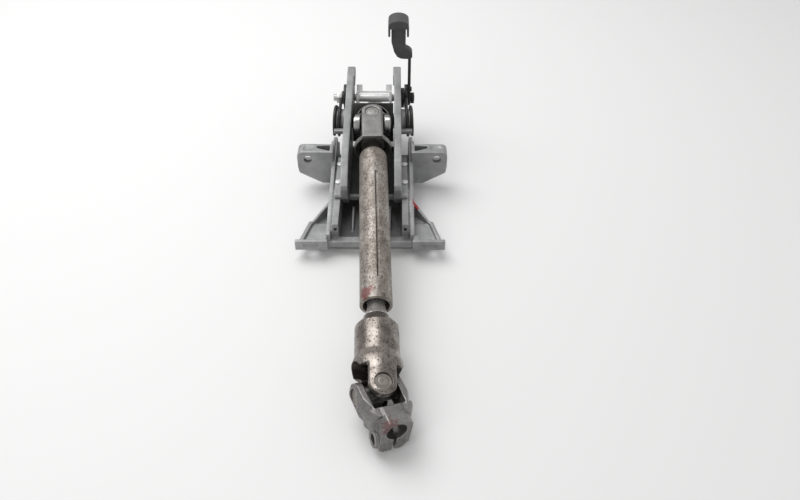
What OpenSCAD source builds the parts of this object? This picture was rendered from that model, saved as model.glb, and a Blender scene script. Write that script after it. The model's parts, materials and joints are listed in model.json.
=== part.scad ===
// Adjustable steering column with mounting bracket, clamp lever and jointed intermediate shaft.
// Lies as on a bench, lever up. +Y runs to the wheel end, +Z up, the resting face is at z = 0.

/* [Column line] */
// Distance of the upper joint's centre behind the origin
joint_y = 60; // [58:0.5:62]
// Height of the upper joint's centre above the resting face
joint_z = 69.4; // [68.6:0.2:71]
// Drop of the column towards the wheel end, in degrees
column_drop = 26; // [25:0.25:26.5]

/* [Intermediate shaft] */
// Distance between the centres of the two joints
shaft_len = 335; // [325:1:370]
// Drop of the shaft towards its clamp end, in degrees
shaft_drop = 7.75; // [7.5:0.25:8]
// Turn of the shaft to the right, in degrees
shaft_yaw = 2; // [1:0.25:2.75]
// Outer diameter of the shaft tube
tube_d = 30; // [28:0.5:31]
// Wall of the shaft tube
tube_wall = 2; // [1.6:0.1:2.5]
// Width of the groove pressed into the tube
groove_w = 3.4; // [2.5:0.1:4]
// Turn of the groove about the shaft, to the right, in degrees
groove_turn = 13; // [0:1:20]
// Diameter of the splined shaft
spline_d = 18.6; // [16:0.2:20]
// Bare length of the splined shaft between tube and lower yoke
spline_show = 14.5; // [11:0.5:16]
// Outer diameter of the upper yoke's bell
bell_d = 41; // [39:0.5:42]
// Distance of the bell's mouth from the upper joint
bell_mouth = 42; // [40:0.5:46]
// Length of the lower yoke, from the barrel's top to the lower joint
barrel_len = 72; // [68:0.5:80]
// Outer diameter of the lower yoke's barrel
barrel_d = 39; // [38:0.5:40]

/* [Joints] */
// Half the gap between the ears of a yoke
ear_gap = 13.5; // [13:0.1:14]
// Thickness of a yoke ear
ear_t = 7; // [6.5:0.1:7.4]
// Radius of a yoke ear around its bearing
ear_r = 11.5; // [10.5:0.1:12]
// Radius of a bearing cap
cap_r = 7.4; // [7:0.1:8]
// Radius of a cross journal
journal_r = 5; // [4.5:0.1:5.4]
// Distance from a joint's centre to the root of a yoke
yoke_root = 25; // [24.6:0.1:26]

/* [Clamp yoke] */
// Roll of the lower joint about the shaft, in degrees
lower_roll = 14; // [0:1:20]
// Turn of the clamp yoke at the lower joint, in degrees
lower_yaw = 18; // [12:0.5:19]
// Lift of the clamp yoke at the lower joint, in degrees
lower_lift = 14; // [11:0.5:15]
// Radius of the clamp bore
pinion_r = 8.5; // [7.5:0.1:9]
// Distance of the clamp's end face from the lower joint
clamp_end = 41; // [39:0.5:44]
// Width of the saw slot
saw_w = 2.6; // [2:0.1:3]
// Radius of the pinch bolt hole
pinch_r = 4.4; // [4:0.1:4.6]
// Drop of the pinch bolt hole below the bore
pinch_drop = 13.6; // [13.4:0.1:14]

/* [Column tube] */
// Outer radius of the housing's tube
housing_r = 19; // [18.5:0.1:19.2]
// Wall of the housing's tube
housing_wall = 2; // [1.6:0.1:2.4]
// Distance of the housing's rear end from the upper joint
housing_end = 105; // [100:1:106]
// Radius of the arch in the housing's front plate
arch_r = 20; // [19.9:0.1:21]
// Half width of the front plate
plate_half = 23.5; // [22.8:0.1:24]
// Distance of the front plate from the upper joint
plate_at = 26; // [25.5:0.1:27]
// Distance of the rake pivot from the upper joint
pivot_at = 44; // [43:0.5:46]
// Radius of a rake pivot pin
pivot_r = 5; // [4:0.1:5.5]
// Radius of the steering shaft
shaft_r = 8; // [7:0.1:8.5]
// Radius of the sliding wheel shaft
wheel_r = 11; // [10.6:0.1:11.5]
// Distance of the wheel shaft's end from the upper joint
wheel_end = 130; // [126:1:132]
// Radius of the seat for the wheel
wheel_seat_r = 8.5; // [7.5:0.1:9]

/* [Clamp] */
// Distance of the clamp bolt from the upper joint along the column
bolt_at = 78; // [76:0.5:80]
// Height of the clamp bolt above the column's axis
bolt_up = 24.5; // [24.4:0.1:26]
// Radius of the clamp bolt
bolt_r = 4; // [3.5:0.1:4.2]
// Outer radius of the spacer tube
spacer_r = 4.9; // [4.7:0.1:5.2]
// Travel of the bolt in the rake slot, each way
rake_travel = 4; // [3.6:0.1:5]
// Radius of the cam discs and the lock plate
cam_r = 16; // [14:0.5:16.5]
// Length of the lever from the bolt to the top of its grip
lever_len = 103; // [96:1:110]

/* [Cheek bracket] */
// Gap between the cheeks
cheek_gap = 49; // [48.6:0.1:51]
// Thickness of a cheek
cheek_t = 8; // [7:0.1:8.4]
// Height of the guide rails that carry the cheek bracket
rail_top = 33; // [31:0.5:34]
// Radius of a spring post
post_r = 13.9; // [12:0.1:14.2]
// Length of a spring post
post_len = 14; // [12.5:0.5:16]

/* [Springs] */
// Mean radius of a spring coil
coil_r = 16.6; // [16.4:0.1:17.5]
// Radius of the spring wire
wire_r = 1.9; // [1.6:0.1:2.1]
// Whole turns of a spring coil
coil_turns = 2; // [1:1:3]

/* [Mounting bracket] */
// Length of the floor
floor_len = 165; // [155:1:172]
// Thickness of the floor
floor_t = 5; // [4:0.5:7]
// Distance of the side walls from the middle, to their inner face
wall_in = 41.2; // [41:0.1:43]
// Thickness of the side walls
wall_t = 4.5; // [3.5:0.1:6]
// Distance between the two ear holes
ear_hole_spacing = 144; // [138:1:148]
// Radius of the ear holes
ear_hole_r = 4.5; // [4:0.1:5.5]
// Height of the ear holes above the resting face
ear_hole_z = 43; // [40:0.5:45]
// Distance between the two wing holes
wing_hole_spacing = 125; // [120:1:130]
// Radius of the wing holes
wing_hole_r = 4.5; // [4:0.1:4.8]
// Distance from a wing hole to the wing's tip
wing_edge = 14.5; // [12.5:0.5:18]
// Height of the wings above the resting face
wing_z = 10; // [8:0.5:12]

/* [Hidden] */
$fn = 48;
// Running clearance of shafts and journals, each side
run = 0.05;
// Clearance of parts that are pressed together, each side
press = 0.02;
// Clearance between neighbours that move
free = 0.3;
// Overrun of a cut past a face
over = 1;

// Place [y, z] in the column's middle plane, at a distance along the axis and a height above it
function column_point(along, up) =
    [joint_y + along*cos(column_drop) + up*sin(column_drop),
     joint_z - along*sin(column_drop) + up*cos(column_drop)];
pivot = column_point(pivot_at, 0);
bolt = column_point(bolt_at, bolt_up);
slot_tilt = atan2(bolt[1] - pivot[1], bolt[0] - pivot[0]);

cheek_in = cheek_gap/2;
cheek_out = cheek_in + cheek_t;
ear_out = ear_gap + ear_t;
ear_crown = 2;
tube_r = tube_d/2;
tube_bore = tube_r - tube_wall;
spline_r = spline_d/2;
bell_r = bell_d/2;
bell_floor = yoke_root + 5;
bell_seat = 5;
barrel_r = barrel_d/2;
barrel_top = shaft_len - barrel_len;
tube_end = barrel_top - spline_show;
spline_seat = 14;
spline_tail = 6;
sleeve_len = 60;
sleeve_back = 60;
sleeve_at = tube_end - sleeve_back - sleeve_len;
groove_from = bell_mouth + 12;
groove_to = tube_end - 26;
rib_h = 0.9;
journal_end = ear_gap + 5;
cap_t = 6.4;

plate_t = 6;
seat_from = pivot_at - 6;
seat_to = pivot_at + 6;
seat_r = 15.5;
housing_bore = housing_r - housing_wall;
inner_r = housing_bore - 0.1;
inner_bore = inner_r - 2.4;
inner_from = seat_to + 12;
inner_to = housing_end + 9;
upper_bearing_t = 9;
wheel_from = inner_from + 4;
steering_end = wheel_from + 26;
wheel_bore_end = steering_end + 12;

cam_t = 3.8;
lever_t = 3.4;
lock_from = cheek_out + free;
lever_cam_from = lock_from + cam_t + free;
lever_from = lever_cam_from + cam_t;
lever_to = lever_from + lever_t;
nut_h = 4.2;
bolt_right = lever_to + free + nut_h + 0.6;
washer_t = 2.4;
clamp_nut_h = 6.5;
bolt_left = lock_from + cam_t + washer_t + clamp_nut_h + 4;
pad_t = 1.4;

wall_out = wall_in + wall_t;
wall_mid = wall_in + wall_t/2;
floor_back = 95;
floor_front = floor_back - floor_len;
rail_out = wall_in - 1.6;
rail_in = cheek_out + free;
rail_back = 42;
foot_t = 5;
foot_front = -28;
wall_front = floor_front - 6;
wall_low = 24;
wall_high = 46;
wall_step = 72;
bar_h = 8;
bar_t = 9;
bar_z = wing_z - 2;
wing_w = wing_hole_spacing + 2*wing_edge;
lip_z = wing_z;
lip_h = 12;
lip_t = 4;
lip_front = wall_front - 8;
wing_t = 3.5;
rim_w = 4.5;
rim_h = 6.5;
wing_back = -45;
web_end = wing_back + 20;
web_t = 3;
rib_from = floor_front + 18;
rib_to = floor_front + 62;
rib_up = 9;
rib_at = 18.8;
rib_t = 2.4;
web_h = 19;
wing_back_half = wing_w/2 - 11;
wing_hole_y = lip_front + lip_t + wing_hole_r + 0.4;
ear_front = 30;
ear_depth = 17;
ear_wall = 6;
ear_round = 6;
ear_tip = ear_hole_spacing/2 + 12;
ear_top = ear_hole_z + 10;
shear_x = (cheek_out + rail_out)/2;
shear_r = 2.5;
shear_y = [-5, 28];

cast_grey = [0.62, 0.63, 0.64];
forged_grey = [0.45, 0.44, 0.42];
bare_steel = [0.50, 0.46, 0.42];
zinc = [0.82, 0.83, 0.84];
black = [0.08, 0.08, 0.09];
dark_plastic = [0.20, 0.20, 0.21];
bright = [0.70, 0.70, 0.70];

// Frames: each puts its children on one of the object's lines

// Column: local z along the axis to the wheel end, local y up
module column_line()
    translate([0, joint_y, joint_z]) rotate([-90 - column_drop, 0, 0]) mirror([0, 1, 0]) children();

// Intermediate shaft: local z along the axis to the clamp end, local y up
module shaft_line()
    translate([0, joint_y, joint_z]) rotate([shaft_drop, 0, 0]) rotate([0, 0, shaft_yaw])
    rotate([90, 0, 0]) children();

// Cross of the upper joint: local x along the steering yoke's journals, local y along the others
module upper_cross_line()
    translate([0, joint_y, joint_z]) rotate([shaft_drop, 0, 0]) rotate([90, 0, 0]) children();

// Cross of the lower joint: local y along the lower yoke's journals, local x along the others
module lower_cross_line()
    shaft_line() translate([0, 0, shaft_len]) rotate([0, 0, -lower_roll]) rotate([0, lower_yaw, 0])
    children();

// Clamp yoke: local z along its bore, away from the joint
module clamp_line()
    lower_cross_line() rotate([-lower_lift, 0, 0]) children();

// Lower yoke: local z back along the shaft from the lower joint
module lower_yoke_line()
    shaft_line() translate([0, 0, shaft_len]) rotate([0, 0, -lower_roll]) rotate([0, 180, 0]) children();

// Clamp bolt: local x along the bolt
module bolt_line()
    translate([0, bolt[0], bolt[1]]) children();

module both_sides() {
    children();
    mirror([1, 0, 0]) children();
}

// Extrudes a [y, z] outline from x = from to x = to
module side_plate(from, to)
    translate([from, 0, 0]) rotate([90, 0, 90]) linear_extrude(to - from) children();

// Extrudes an [x, z] outline from y = from to y = to
module front_plate(from, to)
    translate([0, to, 0]) rotate([90, 0, 0]) linear_extrude(to - from) children();

// Round bar along x
module x_bar(from, to, r)
    translate([from, 0, 0]) rotate([0, 90, 0]) cylinder(h = to - from, r = r);

// Plain ring along z
module ring(from, to, bore, r)
    translate([0, 0, from]) difference() {
        cylinder(h = to - from, r = r);
        translate([0, 0, -over]) cylinder(h = to - from + 2*over, r = bore);
    }

// Universal joint pieces

// Two ears along local y, from the joint's centre to a root on the z axis
module ears(root, t = ear_t)
    for (side = [-1, 1])
        translate([0, side*(ear_gap + t/2), 0]) rotate([90, 0, 0])
            linear_extrude(t, center = true) {
                circle(r = ear_r);
                translate([-ear_r, 0]) square([2*ear_r, root]);
            }

// Bores for the bearing caps, along local y
module cap_bores()
    rotate([90, 0, 0]) cylinder(h = 2*(ear_out + 4), r = cap_r, center = true);

// Two bearing cups along local y, open towards the joint's centre
module cap_pair()
    for (side = [0, 180])
        rotate([0, 0, side]) translate([0, ear_out - 0.4, 0]) rotate([90, 0, 0]) difference() {
            cylinder(h = cap_t, r = cap_r - press);
            translate([0, 0, 1.2]) cylinder(h = cap_t, r = journal_r + run);
        }

// Cross with four stepped journals, along local x and y
module cross()
    for (turn = [0, 90]) rotate([0, 0, turn]) rotate([0, 90, 0]) {
        cylinder(h = 2*journal_end, r = journal_r, center = true);
        cylinder(h = 2*(ear_gap - 1), r = journal_r + 2.4, center = true);
    }

// Mounting bracket

module side_wall()
    side_plate(wall_in, wall_out) polygon([
        [floor_front, 0], [floor_back, 0], [floor_back, wall_low], [wall_step + 6, wall_low + 2],
        [wall_step, wall_high], [wall_front, wall_low], [wall_front, lip_z], [floor_front, lip_z]]);

module guide_rail()
    difference() {
        side_plate(rail_in, rail_out) polygon([
            [floor_front, 0], [rail_back, 0], [rail_back, rail_top], [floor_front, rail_top]]);
        translate([rail_in + 1.8, floor_front - over, rail_top - 9])
            cube([rail_out - rail_in - 3.6, 14, 4]);
    }

module wing()
    difference() {
        union() {
            translate([0, 0, wing_z]) linear_extrude(wing_t) polygon([
                [wall_mid, lip_front], [wing_w/2 - 1, lip_front], [wing_back_half, wing_back],
                [wall_mid, wing_back]]);
            translate([wall_mid, lip_front, lip_z]) cube([wing_w/2 - wall_mid, lip_t, lip_h]);
            // raised rim along the outer edge
            translate([0, 0, wing_z]) linear_extrude(rim_h) polygon([
                [wing_w/2 - over - rim_w, lip_front + over], [wing_w/2 - over, lip_front + over],
                [wing_back_half, wing_back], [wing_back_half - rim_w, wing_back]]);
            // lower plate behind the wing
            translate([0, 0, wing_z]) linear_extrude(wing_t - 1.5) polygon([
                [wall_mid, wing_back - over], [wing_back_half - 3.2, wing_back - over],
                [wall_out - over, web_end], [wall_mid, web_end]]);
            translate([wall_out - over, lip_front, lip_z]) cube([6, -lip_front + wall_front + 2, lip_h]);
            // web from the wing's rear corner to the wall
            translate([wing_back_half - 4, wing_back - 3.5, wing_z])
                rotate([0, 0, atan2(24, wall_out - wing_back_half)]) rotate([90, 0, 0])
                linear_extrude(web_t) polygon([[0, over], [31, over], [31, web_h], [0, rim_h - over]]);
        }
        translate([wing_hole_spacing/2, wing_hole_y, 0]) cylinder(h = wing_z + lip_h, r = wing_hole_r);
        translate([wing_w/2 - 24, lip_front - over, lip_z + 4]) cube([16, over + 1, lip_h - 8]);
    }

// Front outline [x, z] of a bolt ear, with a round upper corner
module ear_outline()
    polygon(concat(
        [[wall_mid, wing_z], [wall_out + 12, wing_z + 0.5], [ear_tip - 1, ear_hole_z - 18],
         [ear_tip, ear_hole_z - 12]],
        [for (a = [0:15:90]) [ear_tip + ear_round*(cos(a) - 1), ear_top + ear_round*(sin(a) - 1)]],
        [[wall_mid, ear_top]]));

module bolt_ear()
    difference() {
        union() {
            front_plate(ear_front, ear_front + ear_depth) ear_outline();
            translate([0, 0, wing_z]) linear_extrude(wall_high - wing_z) polygon([
                [wall_mid, ear_front + ear_depth - over], [wall_mid, wall_step - 3],
                [wall_out + 12, ear_front + ear_depth - over]]);
        }
        // hollow back of the ear
        translate([ear_tip - 19, ear_front + ear_wall, ear_hole_z - 8])
            cube([15, ear_depth, 14]);
        // three cornered pockets between the ribs
        translate([0, 0, wing_z + 8]) linear_extrude(wall_high) polygon([
            [wall_out + 2, ear_front + 3.5], [wall_out + 2, ear_front + ear_depth - 2.5],
            [ear_tip - 22, ear_front + ear_depth - 4], [ear_tip - 22, ear_front + 9]]);
        translate([0, 0, wing_z + 8]) linear_extrude(wall_high) polygon([
            [wall_out + 2, ear_front + ear_depth + 1.5], [wall_out + 2, wall_step - 7.5],
            [wall_out + 9, ear_front + ear_depth + 1.5]]);
        // shallow oval on the top
        for (x = [ear_tip - 15, ear_tip - 10.5])
            translate([x, ear_front + ear_depth/2, ear_top - 1.2]) cylinder(h = 5, r = 3.8);
        translate([ear_tip - 15, ear_front + ear_depth/2 - 3.8, ear_top - 1.2]) cube([4.5, 7.6, 5]);
        translate([ear_hole_spacing/2, ear_front - over, ear_hole_z]) rotate([-90, 0, 0])
            cylinder(h = ear_depth + 2*over, r = ear_hole_r);
    }

module mounting_bracket() color(cast_grey)
    difference() {
        union() {
            translate([-wall_out, floor_front, 0]) cube([2*wall_out, floor_len, floor_t]);
            translate([-wall_out, wall_front - 2, bar_z]) cube([2*wall_out, bar_t, bar_h]);
            both_sides() {
                side_wall();
                guide_rail();
                wing();
                bolt_ear();
                // rib on the floor
                side_plate(rib_at, rib_at + rib_t) polygon([
                    [rib_from, floor_t - over], [rib_to, floor_t - over],
                    [rib_to - rib_up, floor_t + rib_up], [rib_to - 2*rib_up, floor_t + rib_up]]);
            }
        }
        both_sides()
            for (y = shear_y)
                translate([shear_x, y, rail_top - 8]) cylinder(h = 10, r = shear_r + press);
    }

// Cheek bracket

cheek_end = [bolt[0] + 24, bolt[1] + 20];
cheek_end_r = 8;
web_back = 82;

// Side outline [y, z] of a cheek, with a round rear end
module cheek_outline()
    polygon(concat(
        [[foot_front + 10, rail_top - 13], [web_back, rail_top - 13], [web_back + 12, pivot[1] - 19],
         [bolt[0] + 4, bolt[1] - 16], [cheek_end[0] + 4, cheek_end[1] - 22]],
        [for (a = [-30:20:90]) cheek_end + cheek_end_r*[cos(a), sin(a)]],
        [[pivot[0] + 6, 77], [-2, 65], [foot_front, 50], [foot_front - 1.5, 46],
         [foot_front, rail_top]]));

// Slot for the clamp bolt, square to the line from pivot to bolt
module rake_slot()
    bolt_line() rotate([slot_tilt, 0, 0]) {
        for (end = [-1, 1])
            translate([0, 0, end*rake_travel]) rotate([0, 90, 0])
                cylinder(h = 2*cheek_out + 2, r = bolt_r + 0.5, center = true);
        cube([2*cheek_out + 2, 2*bolt_r + 1, 2*rake_travel], center = true);
    }

module cheek()
    difference() {
        union() {
            side_plate(cheek_in, cheek_out) cheek_outline();
            // thicker rear end
            side_plate(cheek_in - pad_t, cheek_in + over) intersection() {
                cheek_outline();
                translate([cheek_end[0] - 16, cheek_end[1] - 8]) square([40, 40]);
            }
            translate([0, pivot[0], pivot[1]]) x_bar(cheek_out - over, cheek_out + post_len, post_r);
            // foot on the guide rail
            side_plate(cheek_out - over, rail_out - 0.4) polygon([
                [foot_front, rail_top], [rail_back, rail_top], [rail_back, rail_top + foot_t],
                [foot_front + 2, rail_top + foot_t], [foot_front, rail_top + foot_t - 2]]);
            // stop for the spring's front arm
            translate([cheek_out - over, pivot[0] - coil_r - wire_r - free - 6, pivot[1] - 3])
                cube([post_len, 6, 5]);
        }
        translate([0, pivot[0], pivot[1]])
            x_bar(cheek_in - over, cheek_out + post_len + over, pivot_r + press);
        for (y = shear_y)
            translate([shear_x, y, rail_top - over]) cylinder(h = 10, r = shear_r + press);
    }

module cheek_bracket() color(cast_grey)
    difference() {
        union() {
            both_sides() cheek();
            translate([-cheek_in - over, foot_front + 14, rail_top - 13])
                cube([2*(cheek_in + over), web_back - foot_front - 14, 6]);
        }
        rake_slot();
    }

module shear_pins() color(zinc)
    both_sides()
        for (y = shear_y)
            translate([shear_x, y, 0]) {
                translate([0, 0, rail_top - 7.9]) cylinder(h = foot_t + 7.9, r = shear_r);
                translate([0, 0, rail_top + foot_t]) cylinder(h = 1.2, r = shear_r + 0.9);
            }

module rake_pivot_pins() color(bright)
    both_sides()
        translate([0, pivot[0], pivot[1]])
            x_bar(housing_r + 1.6, cheek_out + post_len + 0.6, pivot_r);

// Springs: a wire swept along its arms and its coil

coil_pitch = 2*wire_r + 0.15;
coil_sweep = 90 + 360*coil_turns;
coil_from = cheek_out + 2*wire_r + 2.4;
coil_steps = ceil(coil_sweep/22.5);
front_arm = 9;
rear_arm = 22;

// Point on the coil at a share of its sweep, from the front arm to the rear arm
function coil_point(share) =
    let (turn = 180 - coil_sweep*share)
    [coil_from + coil_pitch*(coil_sweep/360)*(1 - share) - wire_r,
     pivot[0] + coil_r*cos(turn), pivot[1] + coil_r*sin(turn)];

coil_path = concat(
    [coil_point(0) + [0, 0, -front_arm]],
    [for (i = [0:coil_steps]) coil_point(i/coil_steps)],
    [coil_point(1) + [0, rear_arm, 0]]);

function unit(v) = v/norm(v);
function path_way(path, i) =
    unit(path[min(i + 1, len(path) - 1)] - path[max(i - 1, 0)]);

// Tube of a wire along a path that never runs along x
module wire(path, r, sides = 8) {
    rings = [for (i = [0:len(path) - 1])
        let (way = path_way(path, i),
             flat = unit(cross([1, 0, 0], way)),
             out = cross(way, flat))
        for (k = [0:sides - 1]) path[i] + r*(cos(360*k/sides)*flat + sin(360*k/sides)*out)];
    last = (len(path) - 1)*sides;
    polyhedron(rings, concat(
        [[for (k = [0:sides - 1]) k]],
        [for (i = [0:len(path) - 2]) for (k = [0:sides - 1])
            let (a = i*sides + k, b = i*sides + (k + 1) % sides)
            [a, a + sides, b + sides, b]],
        [[for (k = [sides - 1:-1:0]) last + k]]));
}

module rake_spring_right() color(black) wire(coil_path, wire_r);
module rake_spring_left() color(black) mirror([1, 0, 0]) wire(coil_path, wire_r);

// Column housing and what is clamped to it

module column_housing() color(black)
    column_line() difference() {
        union() {
            translate([-plate_half, -arch_r - 2, plate_at]) cube([2*plate_half, 2*arch_r + 4, plate_t]);
            translate([0, 0, plate_at]) cylinder(h = seat_from - plate_at + 4, r = arch_r + 2.4);
            translate([0, 0, seat_from]) cylinder(h = housing_end - seat_from, r = housing_r);
            translate([0, 0, pivot_at]) x_bar(-cheek_in + free, cheek_in - free, pivot_r + 4);
        }
        translate([0, 0, plate_at - over]) cylinder(h = seat_from - plate_at - 1, r = arch_r);
        translate([0, 0, plate_at]) cylinder(h = housing_end, r = shaft_r + 4);
        translate([0, 0, seat_from]) cylinder(h = housing_end, r = seat_r + press);
        translate([0, 0, seat_to]) cylinder(h = housing_end, r = housing_bore);
        for (side = [0, 180])
            translate([0, 0, pivot_at]) rotate([0, 0, side])
                x_bar(housing_r + 1.3, cheek_in + over, pivot_r + run);
    }

module lower_bearing() color(bright)
    column_line() ring(seat_from, seat_to - 1, shaft_r + run, seat_r);

module clamp_bracket() color(zinc)
    column_line() difference() {
        union() {
            both_sides() {
                translate([housing_r - 0.6, -5, bolt_at - 9]) cube([3, bolt_up + 13, 18]);
                translate([housing_r - 4.6, bolt_up + spacer_r + 0.6, bolt_at + 4.6]) cube([7, 10, 2.4]);
            }
            translate([-housing_r, bolt_up + spacer_r + 1, bolt_at + 2]) cube([2*housing_r, 1.8, 7]);
        }
        translate([0, 0, bolt_at - 20]) cylinder(h = 40, r = housing_r + press);
        translate([0, bolt_up, bolt_at]) x_bar(-cheek_in, cheek_in, spacer_r + press);
    }

module spacer_tube() color(zinc)
    bolt_line() difference() {
        x_bar(-cheek_in + pad_t + free, cheek_in - pad_t - free, spacer_r);
        x_bar(-cheek_in, cheek_in, bolt_r + press);
    }

module clamp_bolt() color(zinc)
    bolt_line() x_bar(-bolt_left, bolt_right, bolt_r);

// Disc on the clamp bolt
module bolt_disc(from, t, r)
    bolt_line() difference() {
        x_bar(from, from + t, r);
        x_bar(from - over, from + t + over, bolt_r + press);
    }

// Hexagon nut on the clamp bolt
module bolt_nut(from, h, across)
    bolt_line() translate([from, 0, 0]) rotate([0, 90, 0]) difference() {
        cylinder(h = h, r = across/sqrt(3), $fn = 6);
        translate([0, 0, -over]) cylinder(h = h + 2*over, r = bolt_r + press);
    }

module lock_plate() color(black)
    bolt_disc(-lock_from - cam_t, cam_t, cam_r);

module clamp_washer() color(black)
    bolt_disc(-lock_from - cam_t - washer_t, washer_t, 8);

module clamp_nut() color(zinc)
    bolt_nut(-lock_from - cam_t - washer_t - clamp_nut_h, clamp_nut_h, 13);

module fixed_cam() color(black)
    bolt_disc(lock_from, cam_t, cam_r - 4);

module lever_nut() color(black)
    bolt_nut(lever_to + free, nut_h, 13);

// Sliding upper part of the column

module inner_tube() color(bright)
    column_line() ring(inner_from, inner_to, inner_bore, inner_r);

module upper_bearing() color(bright)
    column_line() ring(inner_to - upper_bearing_t - 2, inner_to - 2, wheel_r + run, inner_bore - press);

module wheel_shaft() color(bright)
    column_line() difference() {
        rotate_extrude() polygon([
            [0, wheel_from], [wheel_r, wheel_from], [wheel_r, inner_to], [wheel_seat_r, inner_to + 2],
            [wheel_seat_r, wheel_end - 1], [wheel_seat_r - 1, wheel_end], [0, wheel_end]]);
        translate([0, 0, wheel_from - over]) cylinder(h = wheel_bore_end - wheel_from + over, r = shaft_r + run);
        translate([0, 0, wheel_end - 9]) cylinder(h = 10, r = 4);
        translate([0, 0, inner_to - 2]) difference() {
            cylinder(h = 1.4, r = wheel_r + over);
            translate([0, 0, -over]) cylinder(h = 4, r = wheel_r - 1);
        }
    }

module bearing_circlip() color(black)
    column_line() difference() {
        ring(inner_to - 1.9, inner_to - 0.7, wheel_r - 1 + press, wheel_r + 1.6);
        translate([-2, 0, inner_to - 3]) cube([4, wheel_r + 4, 4]);
    }

// Clamp lever

grip_from = lever_len - 49;
grip_top = lever_len;
neck_in = lever_from - 19.5;
neck_out = neck_in + 16.4;
core_half = 4;
tongue_at = neck_in + 6.5;
tongue_t = 3;
tongue_top = grip_top - 26;

// Steel tongue inside the grip, as an [x, z] outline above the bolt
module tongue_outline(clear)
    polygon([
        [lever_to + clear, grip_from - over], [lever_to + clear, grip_from + 6 + clear],
        [tongue_at + tongue_t + clear, grip_from + 6 + clear], [tongue_at + tongue_t + clear, tongue_top + clear],
        [tongue_at - clear, tongue_top + clear], [tongue_at - clear, grip_from + 3 - clear],
        [lever_from - clear, grip_from + 3 - clear], [lever_from - clear, grip_from - over]]);

module lever_strip() color(black)
    bolt_line() difference() {
        union() {
            side_plate(lever_from, lever_to) {
                circle(r = 9);
                polygon([[-9, 0], [-6, grip_from - 8], [-core_half, grip_from], [core_half, grip_from],
                    [6, grip_from - 8], [9, 0]]);
            }
            front_plate(-core_half, core_half) tongue_outline(0);
        }
        x_bar(lever_from - over, lever_to + over, bolt_r + run);
        translate([0, 0, 12]) x_bar(lever_from - over, lever_to + over, 1.5 + press);
    }

// Neck of the grip, as an [x, z] outline above the bolt
module neck_outline()
    polygon([
        [neck_in, grip_top - 8], [neck_in, grip_from + 21], [neck_in + 3, grip_from + 9],
        [neck_in + 6.5, grip_from + 3], [neck_in + 11, grip_from + 0.5], [lever_to - 1, grip_from],
        [lever_to + 1.4, grip_from + 2], [lever_to + 1.4, grip_from + 7], [lever_to - 1, grip_from + 10.5],
        [neck_out, grip_from + 13.5], [neck_out, grip_top - 8]]);

knob_in = neck_in - 3.6;
knob_out = neck_out + 3.6;
knob_half = 12;

// Domed cap of the grip, as an [x, z] outline above the bolt
module knob_outline() {
    mid = (knob_in + knob_out)/2;
    half = (knob_out - knob_in)/2;
    polygon(concat(
        [[knob_in, grip_top - 19], [knob_out, grip_top - 19], [knob_out, grip_top - 9]],
        [for (a = [15:15:165]) [mid + half*cos(a), grip_top - 7 + 7*sin(a)]],
        [[knob_in, grip_top - 9]]));
}

module lever_grip() color(dark_plastic)
    bolt_line() difference() {
        union() {
            front_plate(-6, 6) neck_outline();
            difference() {
                front_plate(-knob_half, knob_half) knob_outline();
                translate([knob_in + 2.4, -knob_half - over, grip_top - 20])
                    cube([knob_out - knob_in - 4.8, 2*knob_half - 2, 10]);
            }
        }
        front_plate(-core_half - press, core_half + press) tongue_outline(press);
    }

module lever_cam() color(black)
    bolt_line() difference() {
        union() {
            x_bar(lever_cam_from, lever_from, cam_r - 3);
            translate([0, 0, 6]) x_bar(lever_cam_from, lever_from, cam_r - 5);
        }
        x_bar(lever_cam_from - over, lever_from + over, bolt_r + run);
        translate([0, 0, 12]) x_bar(lever_cam_from - over, lever_from + over, 1.5 + press);
    }

module lever_rivet() color(black)
    bolt_line() translate([0, 0, 12]) {
        x_bar(lever_cam_from, lever_to, 1.5);
        x_bar(lever_to, lever_to + 1.6, 3);
    }

// Steering shaft and upper joint

yoke_hub = 11;

// Solid that the ears of a yoke are turned to, so that they clear the other yoke and the arch
module ear_envelope(r, root_r)
    rotate_extrude() polygon([
        [0, -ear_r - 1], [r - 2, -ear_r - 1], [r, -ear_r + 2], [r, ear_r + 2], [root_r, yoke_root + 1],
        [root_r, yoke_root + 4], [0, yoke_root + 4]]);

module steering_yoke() color(bright)
    column_line() difference() {
        union() {
            intersection() {
                rotate([0, 0, 90]) ears(yoke_root + 4);
                ear_envelope(ear_out + 1.6, arch_r - 3);
            }
            translate([0, 0, yoke_root]) cylinder(h = 4, r = arch_r - 3);
            translate([0, 0, yoke_root]) cylinder(h = yoke_hub, r = shaft_r + 3.4);
        }
        rotate([0, 0, 90]) cap_bores();
        translate([0, 0, yoke_root - over]) cylinder(h = yoke_hub + 2*over, r = shaft_r + press);
    }

module steering_shaft() color(bright)
    column_line() translate([0, 0, yoke_root]) cylinder(h = steering_end - yoke_root, r = shaft_r);

module steering_yoke_caps() color(zinc)
    column_line() rotate([0, 0, 90]) cap_pair();

module upper_cross() color(bright) upper_cross_line() cross();

// Intermediate shaft

module upper_yoke() color(forged_grey)
    shaft_line() difference() {
        union() {
            intersection() {
                ears(bell_mouth);
                rotate_extrude() polygon([
                    [0, -ear_r - 1], [ear_out + 0.4, -ear_r - 1], [ear_out + 2.4, -ear_r + 3],
                    [ear_out + 2.4, bell_mouth], [0, bell_mouth]]);
            }
            rotate_extrude() polygon([
                [0, yoke_root], [ear_r, yoke_root], [bell_r, yoke_root + 12], [bell_r, bell_mouth - 1],
                [bell_r - 1, bell_mouth], [0, bell_mouth]]);
        }
        cap_bores();
        ring(bell_floor, bell_mouth, tube_bore - run, tube_r + run);
        translate([0, 0, bell_floor + bell_seat])
            cylinder(h = bell_mouth - bell_floor - bell_seat + 0.01, r1 = tube_r + 0.6, r2 = bell_r - 1.8);
    }

module upper_yoke_caps() color(forged_grey) shaft_line() cap_pair();

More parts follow.
